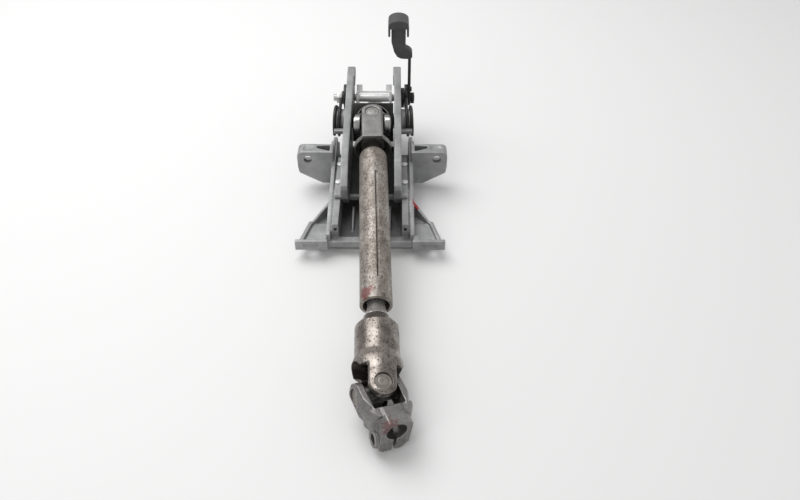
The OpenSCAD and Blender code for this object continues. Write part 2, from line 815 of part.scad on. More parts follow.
module shaft_tube() color(bare_steel)
    shaft_line() difference() {
        union() {
            ring(bell_floor, tube_end, tube_bore, tube_r);
            // inside of the pressed groove, which keys the slider
            rotate([0, 0, -groove_turn]) translate([-groove_w/2, tube_bore - rib_h, groove_from])
                cube([groove_w, rib_h + tube_wall/2, groove_to - groove_from]);
        }
        rotate([0, 0, -groove_turn]) translate([-groove_w/2 + 0.6, tube_r - rib_h, groove_from + 0.6])
            cube([groove_w - 1.2, 4, groove_to - groove_from - 1.2]);
    }

module splined_shaft() color(bare_steel)
    shaft_line() translate([0, 0, sleeve_at - spline_tail])
        cylinder(h = barrel_top + spline_seat - sleeve_at + spline_tail, r = spline_r);

module slide_sleeve() color(zinc)
    shaft_line() difference() {
        ring(sleeve_at, sleeve_at + sleeve_len, spline_r + press, tube_bore - run);
        rotate([0, 0, -groove_turn])
            translate([-groove_w/2 - free/2, tube_bore - rib_h - free, sleeve_at - over])
            cube([groove_w + free, rib_h + 2, sleeve_len + 2*over]);
    }

module lower_yoke() color(forged_grey)
    lower_yoke_line() difference() {
        intersection() {
            rotate_extrude() polygon([
                [0, -ear_r - 1], [ear_out - 1, -ear_r - 1], [ear_out + 1.6, -ear_r + 3],
                [ear_out + 1.6, yoke_root], [barrel_r, yoke_root + 8], [barrel_r, barrel_len - 10],
                [barrel_r - 6.5, barrel_len - 2], [barrel_r - 7.5, barrel_len], [0, barrel_len]]);
            union() {
                ears(barrel_len, ear_t + ear_crown);
                translate([0, 0, yoke_root - 7]) cylinder(h = barrel_len, r = barrel_r + 8);
            }
        }
        cap_bores();
        // window between the ears
        rotate([0, 90, 0]) translate([-yoke_root + ear_gap, 0, 0])
            cylinder(h = 4*barrel_r, r = ear_gap, center = true);
        translate([-2*barrel_r, -ear_gap, -2*ear_r])
            cube([4*barrel_r, 2*ear_gap, 2*ear_r + yoke_root - ear_gap]);
        translate([0, 0, barrel_len - spline_seat]) cylinder(h = spline_seat + over, r = spline_r + press);
    }

module lower_yoke_caps() color(forged_grey) lower_yoke_line() cap_pair();

module lower_cross() color(bright) lower_cross_line() cross();

// Clamp yoke

clamp_r = pinion_r + 4.6;
clamp_top = pinion_r + 3.4;
clamp_from = yoke_root - 3;
pinch_at = (clamp_from + clamp_end)/2 + 1;
lug_low = pinch_drop + pinch_r + 3.4;

// End outline of the clamp: a flat pad on top and cut corners, with the lugs below
module clamp_outline()
    polygon([
        [-8, clamp_top], [8, clamp_top], [clamp_r, clamp_top - 5.5], [clamp_r, -lug_low + 7],
        [7, -lug_low], [-9.5, -lug_low], [-clamp_r, -lug_low + 3], [-clamp_r, clamp_top - 5.5]]);

module clamp_yoke() color(forged_grey)
    clamp_line() difference() {
        union() {
            intersection() {
                rotate([0, 0, 90]) ears(yoke_root + 9, ear_t + ear_crown);
                rotate_extrude() polygon([
                    [0, -ear_r - 1], [ear_out - 1, -ear_r - 1], [ear_out + 1.6, -ear_r + 3],
                    [ear_out + 1.6, ear_r], [clamp_r + 1, yoke_root + 9], [0, yoke_root + 9]]);
            }
            // bridge that joins the ears behind the joint
            intersection() {
                translate([-ear_out - 1, -clamp_top, clamp_from])
                    cube([2*ear_out + 2, 2*clamp_top - over, 9]);
                rotate_extrude() polygon([
                    [0, clamp_from - 1], [ear_out + 1.6, clamp_from - 1], [clamp_r + 1, yoke_root + 9],
                    [0, yoke_root + 9]]);
            }
            translate([0, 0, clamp_from + over]) linear_extrude(clamp_end - clamp_from - over) clamp_outline();
            translate([0, -pinch_drop, pinch_at]) x_bar(-clamp_r - 2.6, 0, pinch_r + 3);
        }
        rotate([0, 0, 90]) cap_bores();
        translate([0, 0, clamp_from - over]) cylinder(h = clamp_end, r = pinion_r);
        translate([-saw_w/2, -lug_low - over, clamp_from - over])
            cube([saw_w, lug_low, clamp_end]);
        translate([0, -pinch_drop, pinch_at]) x_bar(-clamp_r - 4, clamp_r + 4, pinch_r);
    }

module clamp_yoke_caps() color(forged_grey) clamp_line() rotate([0, 0, 90]) cap_pair();

mounting_bracket();
cheek_bracket();
shear_pins();
rake_pivot_pins();
rake_spring_left();
rake_spring_right();
column_housing();
lower_bearing();
clamp_bracket();
clamp_bolt();
spacer_tube();
clamp_nut();
clamp_washer();
lock_plate();
fixed_cam();
lever_nut();
inner_tube();
upper_bearing();
wheel_shaft();
bearing_circlip();
lever_strip();
lever_grip();
lever_cam();
lever_rivet();
steering_yoke();
steering_shaft();
steering_yoke_caps();
upper_cross();
shaft_tube();
upper_yoke();
upper_yoke_caps();
splined_shaft();
slide_sleeve();
lower_yoke();
lower_yoke_caps();
lower_cross();
clamp_yoke();
clamp_yoke_caps();
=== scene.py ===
"""Adjustable steering column on a pale bench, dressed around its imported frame."""
import json
import math

import bmesh
import bpy
from mathutils import Matrix, Vector, noise


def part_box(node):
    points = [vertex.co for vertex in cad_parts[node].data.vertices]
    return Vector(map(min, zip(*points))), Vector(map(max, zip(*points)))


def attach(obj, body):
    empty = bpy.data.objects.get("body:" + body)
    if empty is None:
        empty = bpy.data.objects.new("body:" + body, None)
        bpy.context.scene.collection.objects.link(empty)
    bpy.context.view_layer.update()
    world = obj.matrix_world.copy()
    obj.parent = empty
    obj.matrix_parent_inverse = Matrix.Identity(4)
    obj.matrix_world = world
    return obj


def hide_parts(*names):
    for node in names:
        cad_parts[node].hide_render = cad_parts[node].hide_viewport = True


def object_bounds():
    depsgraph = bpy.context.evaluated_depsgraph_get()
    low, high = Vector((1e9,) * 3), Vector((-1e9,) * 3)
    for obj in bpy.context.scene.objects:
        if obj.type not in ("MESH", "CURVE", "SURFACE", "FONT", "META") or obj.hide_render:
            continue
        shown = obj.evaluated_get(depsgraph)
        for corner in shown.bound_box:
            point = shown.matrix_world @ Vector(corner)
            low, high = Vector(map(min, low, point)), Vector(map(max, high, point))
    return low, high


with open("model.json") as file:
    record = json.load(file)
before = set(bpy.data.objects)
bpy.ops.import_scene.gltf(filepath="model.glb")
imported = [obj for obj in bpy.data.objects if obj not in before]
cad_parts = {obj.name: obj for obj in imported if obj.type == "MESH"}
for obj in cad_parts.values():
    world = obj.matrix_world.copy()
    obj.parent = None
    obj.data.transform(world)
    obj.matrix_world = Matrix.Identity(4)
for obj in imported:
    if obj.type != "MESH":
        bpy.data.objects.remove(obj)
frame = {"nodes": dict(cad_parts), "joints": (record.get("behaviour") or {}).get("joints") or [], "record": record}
cad_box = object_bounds()
bpy.context.scene.view_settings.view_transform = "Standard"

# Mounting bracket: one aluminium pressure casting with bolt ears, wings and guide rails.
# Its edges are round from the die and its skin is satin grey. Its floor under the column and its bolt holes are
# darker with painted shade.
# It is the part that is bolted to the vehicle, and the column lies on it.
MM = 0.001
CAST_VOXEL = 0.0007
CAST_SOFTENING = 5
CAST_KEEP = 0.4
SOFTENING_SHARE = 0.5
CAST_WAVE = 0.012
BRACKET_SWELL = 0.00012
# Below, a noise is its scale, detail and roughness, and a range is its two ends and the value at each.
NOISE_LOW = 0.3
NOISE_HIGH = 0.7
WHITE = (1.0, 1.0, 1.0)
CAST_METALLIC = 0.4
CAST_CLOUDS = (45, 7.0, 0.6)
CAST_GRAINS = (1100, 3.0, 0.6)
CAST_TONES = [(0.30, (0.25, 0.253, 0.255)), (0.70, (0.41, 0.412, 0.412))]
CAST_SPECKS = [(0.32, (0.80, 0.80, 0.80)), (0.62, WHITE)]
# Near black: dirt in the inner corners, and painted shade on the floor, on the cheek web and in the bolt holes.
CAST_DIRT_AND_SHADE = (0.020, 0.020, 0.019)
CAST_WEAR = {"corners": (0.40, 0.485, 0.75, 0.0), "dirt": CAST_DIRT_AND_SHADE, "edges": (0.51, 0.57, 0.0, 0.8),
             "patches": (0.35, 0.60, 0.35, 1.0), "highlight": (0.56, 0.56, 0.555)}
CAST_ROUGH = (NOISE_LOW, NOISE_HIGH, 0.56, 0.42)
CAST_RELIEF = 0.00010
RELIEF_STRENGTH = 0.6
# Painted shade on the floor between the rails, under the column.
BRACKET_FLOOR_SHADE = {"top": 0.0058, "half": 0.0405, "front": -0.0695, "share": 0.48}
SHADE_TOP_FADE = 0.0015
SHADE_SIDE_FADE = 0.0008
SHADE_FRONT_FADE = 0.002
RED_PAINT = (0.36, 0.045, 0.055)
WEB_MARK = Vector((0.0495, -0.0285, 0.0275))
WEB_DAB = {"radius": 0.007, "ragged": 0.003}
DAB_NOISE = (260, 3.0, 0.55)
DAB_CORE = 0.75
# Painted shade inside the bolt holes of the ears, around a point within each hole.
EAR_HOLE_BACK = 0.0085
EAR_HOLE_SHADE = {"radius": 0.0075, "ragged": 0.0}
mounts = {mount["name"]: mount for mount in frame["record"]["mounts"]}
ear_middle = Vector(mounts["ear_holes"]["pos_m"]) + Vector((0, EAR_HOLE_BACK, 0))
ear_aside = Vector((0.5 * MM * mounts["ear_holes"]["dims"]["spacing_x_mm"], 0, 0))


def placed(name, data):
    """New object in the scene, with its mesh, lamp or camera."""
    made = bpy.data.objects.new(name, data)
    bpy.context.scene.collection.objects.link(made)
    return made


def copy_of_node(node, name, finishes):
    """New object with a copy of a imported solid's mesh, and its own finishes."""
    mesh = frame["nodes"][node].data.copy()
    mesh.materials.clear()
    for finish in finishes:
        mesh.materials.append(finish)
    return placed(name, mesh)


def apply_modifiers(piece):
    """Keeps what the modifiers make as the piece's own mesh."""
    shaped = piece.evaluated_get(bpy.context.evaluated_depsgraph_get())
    mesh = bpy.data.meshes.new_from_object(shaped)
    piece.modifiers.clear()
    piece.data = mesh
    for face in mesh.polygons:
        face.use_smooth = True


def cast_copy(node, name, finish, voxel=CAST_VOXEL, softening=CAST_SOFTENING, keep=CAST_KEEP):
    """Copy of a solid whose edges and inner corners are round, as a casting or forging has them."""
    piece = copy_of_node(node, name, [finish])
    skin = piece.modifiers.new("skin", "REMESH")
    skin.mode = "VOXEL"
    skin.voxel_size = voxel
    soft = piece.modifiers.new("soft", "SMOOTH")
    soft.factor = SOFTENING_SHARE
    soft.iterations = softening
    lean = piece.modifiers.new("lean", "DECIMATE")
    lean.ratio = keep
    apply_modifiers(piece)
    return piece


def uneven(piece, wave, depth):
    """Moves the skin in and out a little, as no die or hammer leaves it flat."""
    outward = [normal.vector.copy() for normal in piece.data.vertex_normals]
    for vertex, out in zip(piece.data.vertices, outward):
        vertex.co += out * (depth * noise.noise(vertex.co / wave))


def dress(piece, node, body):
    """Puts a piece in the place of its solid, on the body that carries it."""
    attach(piece, body)
    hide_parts(node)


def new_finish(name, metallic):
    """New material, with its node tree and its shader."""
    finish = bpy.data.materials.new(name)
    finish.use_nodes = True
    shader = finish.node_tree.nodes["Principled BSDF"]
    shader.inputs["Metallic"].default_value = metallic
    return finish, finish.node_tree, shader


def object_place(tree, stretch=(1, 1, 1)):
    """Object coordinates, which may be stretched to follow a piece's grain."""
    place = tree.nodes.new("ShaderNodeTexCoord")
    along = tree.nodes.new("ShaderNodeMapping")
    along.inputs["Scale"].default_value = stretch
    tree.links.new(place.outputs["Object"], along.inputs["Vector"])
    return along.outputs["Vector"]


def range_node(tree, source, low, high, to_low, to_high):
    """Maps a value from one range to another."""
    made = tree.nodes.new("ShaderNodeMapRange")
    for socket, value in zip(made.inputs[1:5], (low, high, to_low, to_high)):
        socket.default_value = value
    tree.links.new(source, made.inputs["Value"])
    return made.outputs["Result"]


def ramp_node(tree, source, stops):
    """Colour ramp over a value, from (place, colour) stops."""
    ramp = tree.nodes.new("ShaderNodeValToRGB")
    while len(ramp.color_ramp.elements) < len(stops):
        ramp.color_ramp.elements.new(0.5)
    for element, (place, colour) in zip(ramp.color_ramp.elements, stops):
        element.position = place
        element.color = (*colour, 1)
    tree.links.new(source, ramp.inputs["Fac"])
    return ramp.outputs["Color"]


def noise_node(tree, place, scale, detail, roughness):
    """Cloudy value over the piece."""
    made = tree.nodes.new("ShaderNodeTexNoise")
    made.inputs["Scale"].default_value = scale
    made.inputs["Detail"].default_value = detail
    made.inputs["Roughness"].default_value = roughness
    tree.links.new(place, made.inputs["Vector"])
    return made.outputs["Fac"]


def feed(tree, socket, value):
    """Gives a socket an output to follow, a colour or a number."""
    if isinstance(value, bpy.types.NodeSocket):
        tree.links.new(value, socket)
    elif isinstance(value, tuple):
        socket.default_value = (*value, 1)
    else:
        socket.default_value = value


def mix_node(tree, share, under, over, blend="MIX"):
    """Lays one colour over another by a share, each a value or an output."""
    made = tree.nodes.new("ShaderNodeMix")
    made.data_type = "RGBA"
    made.blend_type = blend
    for socket, value in ((made.inputs[0], share), (made.inputs[6], under), (made.inputs[7], over)):
        feed(tree, socket, value)
    return made.outputs[2]


def math_node(tree, operation, first, second):
    """Sum, product or other of two values, each a number or an output."""
    made = tree.nodes.new("ShaderNodeMath")
    made.operation = operation
    for socket, value in zip(made.inputs, (first, second)):
        feed(tree, socket, value)
    return made.outputs[0]


def product(tree, first, *others):
    """Product of several values, each a number or an output."""
    for other in others:
        first = math_node(tree, "MULTIPLY", first, other)
    return first


def vector_node(tree, operation, first, second):
    """Sum, product or distance of an output and a fixed vector."""
    made = tree.nodes.new("ShaderNodeVectorMath")
    made.operation = operation
    made.inputs[1].default_value = second
    tree.links.new(first, made.inputs[0])
    is_number = operation in ("DISTANCE", "DOT_PRODUCT", "LENGTH")
    return made.outputs["Value" if is_number else "Vector"]


def bend_node(tree):
    """Value that is over a half on outer edges and under a half in inner corners."""
    return tree.nodes.new("ShaderNodeNewGeometry").outputs["Pointiness"]


def dab_node(tree, centre, radius, ragged):
    """Value that is 1 in a ragged dab around a point of the piece, and 0 outside it."""
    place = object_place(tree)
    away = vector_node(tree, "DISTANCE", place, centre)
    edge = range_node(tree, noise_node(tree, place, *DAB_NOISE), NOISE_LOW, NOISE_HIGH, -ragged, ragged)
    return range_node(tree, math_node(tree, "ADD", away, edge), DAB_CORE * radius, radius, 1.0, 0.0)


# Mask for painted shade low down between a casting's walls, under the column.
def low_shade_node(tree, top, half, front, share):
    """Share that is kept below a height, within a half width and behind a front line."""
    apart = tree.nodes.new("ShaderNodeSeparateXYZ")
    tree.links.new(object_place(tree), apart.inputs[0])
    aside = math_node(tree, "ABSOLUTE", apart.outputs["X"], 0.0)
    return product(tree, range_node(tree, apart.outputs["Z"], top, top + SHADE_TOP_FADE, share, 0.0),
                   range_node(tree, aside, half - SHADE_SIDE_FADE, half, 1.0, 0.0),
                   range_node(tree, apart.outputs["Y"], front, front + SHADE_FRONT_FADE, 0.0, 1.0))


def speckled(tree, clouds, tones, grains, specks):
    """Cloudy colour under fine specks, each from its own (place, colour) stops."""
    return mix_node(tree, 1.0, ramp_node(tree, clouds, tones), ramp_node(tree, grains, specks), "MULTIPLY")


def worn(tree, colour, clouds, wear):
    """Lays dirt in the inner corners and rubs the outer edges bare, in patches."""
    bend = bend_node(tree)
    colour = mix_node(tree, range_node(tree, bend, *wear["corners"]), colour, wear["dirt"])
    rubbed = product(tree, range_node(tree, bend, *wear["edges"]),
                     range_node(tree, clouds, *wear["patches"]))
    return mix_node(tree, rubbed, colour, wear["highlight"])


def lay_finish(tree, shader, colour, rough, height, depth):
    """Gives a shader its colour, its roughness and a fine relief."""
    bump = tree.nodes.new("ShaderNodeBump")
    bump.inputs["Strength"].default_value = RELIEF_STRENGTH
    bump.inputs["Distance"].default_value = depth
    tree.links.new(height, bump.inputs["Height"])
    tree.links.new(bump.outputs["Normal"], shader.inputs["Normal"])
    tree.links.new(colour, shader.inputs["Base Color"])
    tree.links.new(rough, shader.inputs["Roughness"])


def cast_finish(name, low_shade, mark=None, holes=()):
    """Cast aluminium: satin grey with lighter edges, painted shade low down and in the bolt holes, and a dab of
    paint.
    """
    finish, tree, shader = new_finish(name, CAST_METALLIC)
    place = object_place(tree)
    clouds = noise_node(tree, place, *CAST_CLOUDS)
    grains = noise_node(tree, place, *CAST_GRAINS)
    colour = worn(tree, speckled(tree, clouds, CAST_TONES, grains, CAST_SPECKS), clouds, CAST_WEAR)
    # Painted shade low down between the walls.
    colour = mix_node(tree, low_shade_node(tree, **low_shade), colour, CAST_DIRT_AND_SHADE)
    # Painted shade inside the bolt holes.
    for hole in holes:
        colour = mix_node(tree, dab_node(tree, hole, **EAR_HOLE_SHADE), colour, CAST_DIRT_AND_SHADE)
    if mark:
        colour = mix_node(tree, dab_node(tree, mark, **WEB_DAB), colour, RED_PAINT)
    lay_finish(tree, shader, colour, range_node(tree, clouds, *CAST_ROUGH), grains, CAST_RELIEF)
    return finish


bracket_cast = cast_finish("bracket_cast", BRACKET_FLOOR_SHADE, WEB_MARK,
                           (ear_middle - ear_aside, ear_middle + ear_aside))
bracket = cast_copy("mounting_bracket", "bracket_casting", bracket_cast)
uneven(bracket, CAST_WAVE, BRACKET_SWELL)
dress(bracket, "mounting_bracket", "bracket")

# Cheek bracket: the inner aluminium casting, whose two cheeks hold the column between them.
# It stands with its feet on the guide rails and has a round post for each spring.
# The web between the cheeks, under the tube, is darkened with painted shade.
CHEEK_WEB_SHADE = {"top": 0.0268, "half": 0.0246, "front": -0.0115, "share": 0.92}
CHEEK_SOFTENING = 9
CHEEK_SWELL = 0.00010
cheek_cast = cast_finish("cheek_cast", CHEEK_WEB_SHADE)
cheeks = cast_copy("cheek_bracket", "cheek_casting", cheek_cast, softening=CHEEK_SOFTENING)
uneven(cheeks, CAST_WAVE, CHEEK_SWELL)
dress(cheeks, "cheek_bracket", "bracket")

# Shear pins: four bright headed pins, driven through the feet into the guide rails.
# They let the column go in a crash. Zinc plated, with a small chamfer on each head.
ZINC_DARK = (0.78, 0.78, 0.77)
ZINC_LIGHT = (0.90, 0.905, 0.90)
PIN_CHAMFER = 0.0003
CHAMFER_STEPS = 2
SHARP_ANGLE = math.radians(38)
FLAT_ANGLE = math.radians(0.5)
WELD_REACH = 1e-6
METAL_CLOUDS = {"detail": 6.0, "roughness": 0.6}
METAL_GRAINS = {"detail": 3.0, "roughness": 0.6}
METAL_SPECKS = [(0.30, (0.78, 0.78, 0.78)), (0.62, WHITE)]
METAL_DARK_AT = 0.30
METAL_LIGHT_AT = 0.70
METAL_CORNERS = (0.40, 0.48, 0.5, 0.0)
GRIME_TONE = 0.3
ROUGHER = 0.08
SMOOTHER = 0.06


def edged_copy(node, name, chamfer, finish, rim=None):
    """Copy of a machined or pressed solid with its sharp edges broken, which may show another finish."""
    piece = copy_of_node(node, name, [finish, rim] if rim else [finish])
    shape = bmesh.new()
    shape.from_mesh(piece.data)
    bmesh.ops.remove_doubles(shape, verts=shape.verts, dist=WELD_REACH)
    bmesh.ops.dissolve_limit(shape, angle_limit=FLAT_ANGLE, verts=shape.verts, edges=shape.edges)
    for face in shape.faces:
        face.material_index = 0
    shape.to_mesh(piece.data)
    shape.free()
    broken = piece.modifiers.new("broken_edges", "BEVEL")
    broken.width = chamfer
    broken.segments = CHAMFER_STEPS
    broken.limit_method = "ANGLE"
    broken.angle_limit = SHARP_ANGLE
    broken.use_clamp_overlap = True
    if rim:
        broken.material = 1
    apply_modifiers(piece)
    piece.data.set_sharp_from_angle(angle=SHARP_ANGLE)
    return piece


def plain_metal(name, dark, light, metallic, rough, clouds, grains, relief):
    """Plated, ground or coated metal: a cloudy tone, a fine grain and a gloss that varies with it."""
    finish, tree, shader = new_finish(name, metallic)
    place = object_place(tree)
    cloudy = noise_node(tree, place, clouds, **METAL_CLOUDS)
    grainy = noise_node(tree, place, grains, **METAL_GRAINS)
    tones = [(METAL_DARK_AT, dark), (METAL_LIGHT_AT, light)]
    colour = speckled(tree, cloudy, tones, grainy, METAL_SPECKS)
    grime = range_node(tree, bend_node(tree), *METAL_CORNERS)
    colour = mix_node(tree, grime, colour, tuple(GRIME_TONE * tone for tone in dark))
    gloss = range_node(tree, cloudy, NOISE_LOW, NOISE_HIGH, rough + ROUGHER, rough - SMOOTHER)
    lay_finish(tree, shader, colour, gloss, grainy, relief)
    return finish


bright_zinc = plain_metal("bright_zinc", ZINC_DARK, ZINC_LIGHT, metallic=0.2, rough=0.32,
                          clouds=180, grains=1400, relief=0.00003)
pins = edged_copy("shear_pins", "shear_pin_set", PIN_CHAMFER, bright_zinc)
dress(pins, "shear_pins", "bracket")

# Rake pivot pins: two ground steel pins through the spring posts, on which the column rakes.
# Plain turned steel with a chamfered end, held by the press fit in the casting.
STEEL_DARK = (0.34, 0.34, 0.335)
STEEL_LIGHT = (0.58, 0.58, 0.575)
bright_steel = plain_metal("bright_steel", STEEL_DARK, STEEL_LIGHT, metallic=0.95, rough=0.25,
                           clouds=120, grains=1600, relief=0.00003)
pivots = edged_copy("rake_pivot_pins", "rake_pivot_pin_pair", PIN_CHAMFER, bright_steel)
dress(pivots, "rake_pivot_pins", "bracket")

# Rake springs: two coils of black spring wire, wound around the posts outside the cheeks.
# The front arm hooks on a stop and the rear arm lies along the cheek, as wound on a coiling machine.
WIRE_R = 0.0019
WIRE_SIDES = 12
COIL_R = 0.0166
COIL_TURNS = 1
COIL_PITCH = 0.0055
COIL_SWEEP = 90 + 360 * COIL_TURNS
COIL_STEPS = 90
FRONT_ARM = 0.009
REAR_ARM = 0.022
BLACK_DARK = (0.018, 0.017, 0.017)
BLACK_LIGHT = (0.044, 0.042, 0.040)
joints = {joint["name"]: joint for joint in frame["joints"]}
rake_pivot = Vector(joints["rake"]["pos_m"])
black_coat = plain_metal("black_coat", BLACK_DARK, BLACK_LIGHT, metallic=0.3, rough=0.36,
                         clouds=140, grains=1500, relief=0.00004)


def spring_points(node, side):
    """Middle line of a spring's wire, from its front arm to its rear arm."""
    low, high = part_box(node)
    far = (high.x if side > 0 else -low.x) - WIRE_R
    near = far - COIL_PITCH * COIL_SWEEP / 360
    points = []
    for step in range(COIL_STEPS + 1):
        share = step / COIL_STEPS
        turn = math.radians(180 - COIL_SWEEP * share)
        across = far + (near - far) * share
        points.append(Vector((side * across, rake_pivot.y + COIL_R * math.cos(turn),
                              rake_pivot.z + COIL_R * math.sin(turn))))
    return [points[0] + Vector((0, 0, -FRONT_ARM))] + points + [points[-1] + Vector((0, REAR_ARM, 0))]


def piece_of_shape(shape, name, finish):
    """New object from a mesh under construction, smooth but for its sharp edges."""
    bmesh.ops.recalc_face_normals(shape, faces=shape.faces)
    mesh = bpy.data.meshes.new(name)
    shape.to_mesh(mesh)
    shape.free()
    mesh.materials.append(finish)
    for face in mesh.polygons:
        face.use_smooth = True
    mesh.set_sharp_from_angle(angle=SHARP_ANGLE)
    return placed(name, mesh)


def round_ring(shape, centre, radius, side, other, steps):
    """Ring of vertices about a centre, in the plane of two directions."""
    turns = [2 * math.pi * k / steps for k in range(steps)]
    return [shape.verts.new(centre + radius * (math.cos(turn) * side + math.sin(turn) * other))
            for turn in turns]


def join_rings(shape, ring, after):
    """Lays faces between two rings of vertices, one of which may be a single vertex."""
    count = max(len(ring), len(after))
    for k in range(count):
        ahead = (k + 1) % count
        places = ((ring, k), (ring, ahead), (after, ahead), (after, k))
        corners = [edge[at % len(edge)] for edge, at in places]
        shape.faces.new(list(dict.fromkeys(corners)))


def skin_rings(shape, rings):
    """Joins rings of vertices into a closed tube with a face over each end."""
    for ring, after in zip(rings, rings[1:]):
        join_rings(shape, ring, after)
    shape.faces.new(rings[0][::-1])
    shape.faces.new(rings[-1])


def round_wire(name, points, radius, finish):
    """Round wire along a line of points, with a ring of vertices at each point."""
    shape = bmesh.new()
    rings = []
    for index, point in enumerate(points):
        way = (points[min(index + 1, len(points) - 1)] - points[max(index - 1, 0)]).normalized()
        flat = Vector((1, 0, 0)).cross(way).normalized()
        rings.append(round_ring(shape, point, radius, flat, way.cross(flat), WIRE_SIDES))
    skin_rings(shape, rings)
    return piece_of_shape(shape, name, finish)


for node, side in (("rake_spring_left", -1), ("rake_spring_right", 1)):
    spring = round_wire(node + "_wire", spring_points(node, side), WIRE_R, black_coat)
    dress(spring, node, "bracket")

# Column housing: a steel tube with a thick front plate, whose round arch goes over the upper joint.
# Welded and coated black, with its edges rubbed bare and a painted highlight in a ring along the arch's rim. The
# lower shaft bearing is pressed into its throat.
HOUSING_CHAMFER = 0.0007
RUBBED_DARK = (0.26, 0.26, 0.25)
RUBBED_AND_HIGHLIGHT_LIGHT = (0.46, 0.455, 0.44)
# Painted highlight: a light ring along the rim of the arch.
ARCH_R = 0.020
ARCH_RIM = 0.0013
ARCH_RIM_CORE = 0.7
ARCH_FADE = 0.0003
rubbed_edge = plain_metal("rubbed_edge", RUBBED_DARK, RUBBED_AND_HIGHLIGHT_LIGHT, metallic=0.7, rough=0.4,
                          clouds=150, grains=1200, relief=0.00003)
arch_at = Vector(joints["steering_turn"]["pos_m"])
column_way = Vector(joints["steering_turn"]["axis"])


def housing_finish(name):
    """Black coat with a painted highlight in a narrow ring around the arch."""
    finish = black_coat.copy()
    finish.name = name
    tree = finish.node_tree
    shader = tree.nodes["Principled BSDF"]
    coat = shader.inputs["Base Color"].links[0].from_socket
    from_joint = vector_node(tree, "SUBTRACT", object_place(tree), arch_at)
    off_axis = vector_node(tree, "CROSS_PRODUCT", from_joint, column_way)
    away = vector_node(tree, "LENGTH", off_axis, (0, 0, 0))
    outside = range_node(tree, away, ARCH_R - ARCH_FADE, ARCH_R, 0.0, 1.0)
    inside = range_node(tree, away, ARCH_R + ARCH_RIM_CORE * ARCH_RIM, ARCH_R + ARCH_RIM, 1.0, 0.0)
    highlight = mix_node(tree, product(tree, outside, inside), coat, RUBBED_AND_HIGHLIGHT_LIGHT)
    tree.links.new(highlight, shader.inputs["Base Color"])
    return finish


black_with_arch_highlight = housing_finish("black_with_arch_highlight")
housing = edged_copy("column_housing", "column_housing_tube", HOUSING_CHAMFER, black_with_arch_highlight, rubbed_edge)
dress(housing, "column_housing", "column")
bearing = edged_copy("lower_bearing", "lower_shaft_bearing", PIN_CHAMFER, bright_steel)
dress(bearing, "lower_bearing", "column")

# Clamp bracket: a zinc plated strap around the housing that carries the clamp bolt.
# Two side plates with tabs and a thin bar between them, pressed from sheet.
# The spacer on the bolt is as bright as the strap, and the bolt and its nut are duller.
NUT_DARK = (0.40, 0.40, 0.39)
NUT_LIGHT = (0.60, 0.60, 0.585)
STRAP_CHAMFERS = {"clamp_bracket": 0.0004, "spacer_tube": 0.0003}
BOLT_CHAMFERS = {"clamp_bolt": 0.0005, "clamp_nut": 0.0006}
dull_zinc = plain_metal("dull_zinc", NUT_DARK, NUT_LIGHT, metallic=0.6, rough=0.34,
                        clouds=180, grains=1400, relief=0.00003)
for finish, chamfers in ((bright_zinc, STRAP_CHAMFERS), (dull_zinc, BOLT_CHAMFERS)):
    for node, chamfer in chamfers.items():
        plated = edged_copy(node, node + "_plated", chamfer, finish)
        dress(plated, node, "column")

# Black clamp pieces on the bolt: washer, lock plate, fixed cam and lever nut.
# Hardened steel with a black coat, stacked on the bolt outside the cheeks.
STACK_CHAMFERS = {"clamp_washer": 0.0003, "lock_plate": 0.0005, "fixed_cam": 0.0005, "lever_nut": 0.0006}
for node, chamfer in STACK_CHAMFERS.items():
    coated = edged_copy(node, node + "_coated", chamfer, black_coat)
    dress(coated, node, "column")

# Sliding upper part: inner tube with its bearing, and the wheel shaft that turns in it.
# Turned and ground steel, held by a black circlip.
CIRCLIP_CHAMFER = 0.00015
for node, body in (("inner_tube", "reach_tube"), ("upper_bearing", "reach_tube"),
                   ("wheel_shaft", "wheel_end")):
    turned = edged_copy(node, node + "_turned", PIN_CHAMFER, bright_steel)
    dress(turned, node, body)
circlip = edged_copy("bearing_circlip", "bearing_circlip_ring", CIRCLIP_CHAMFER, black_coat)
dress(circlip, "bearing_circlip", "wheel_end")

# Clamp lever: a black steel strip on the bolt, riveted to the moving cam.
# Its upper end is a tongue inside the grip.
LEVER_CHAMFERS = {"lever_strip": 0.0005, "lever_cam": 0.0005, "lever_rivet": 0.0007}
for node, chamfer in LEVER_CHAMFERS.items():
    coated = edged_copy(node, node + "_coated", chamfer, black_coat)
    dress(coated, node, "lever")

# Lever grip: dark grey moulded plastic, a domed hollow cap on a curved neck.
# Moulded over the strip's tongue, with round edges and a fine grain.
GRIP_DARK = (0.052, 0.052, 0.054)
GRIP_LIGHT = (0.076, 0.076, 0.078)
grip_plastic = plain_metal("grip_plastic", GRIP_DARK, GRIP_LIGHT, metallic=0.0, rough=0.50,
                           clouds=90, grains=2200, relief=0.00005)
grip = cast_copy("lever_grip", "lever_grip_moulding", grip_plastic, voxel=0.0004, softening=10, keep=0.6)
dress(grip, "lever_grip", "lever")

# Steering shaft and its yoke under the arch: bright forged and turned steel.
# The yoke is pressed and welded on the shaft. Each joint's cross turns in it and in the next yoke.
FORGED_VOXEL = 0.0005
CROSS_CHAMFER = 0.0005
GREASY_DARK = (0.045, 0.042, 0.038)
GREASY_LIGHT = (0.13, 0.125, 0.115)
yoke = cast_copy("steering_yoke", "steering_yoke_forging", bright_steel, FORGED_VOXEL, softening=4, keep=0.6)
dress(yoke, "steering_yoke", "steering")
steering_bar = edged_copy("steering_shaft", "steering_shaft_turned", PIN_CHAMFER, bright_steel)
dress(steering_bar, "steering_shaft", "steering")
greasy_steel = plain_metal("greasy_steel", GREASY_DARK, GREASY_LIGHT, metallic=0.8, rough=0.34,
                           clouds=140, grains=1200, relief=0.00006)
for node, body in (("upper_cross", "upper_joint"), ("lower_cross", "lower_joint")):
    spider = edged_copy(node, node + "_spider", CROSS_CHAMFER, greasy_steel)
    dress(spider, node, body)

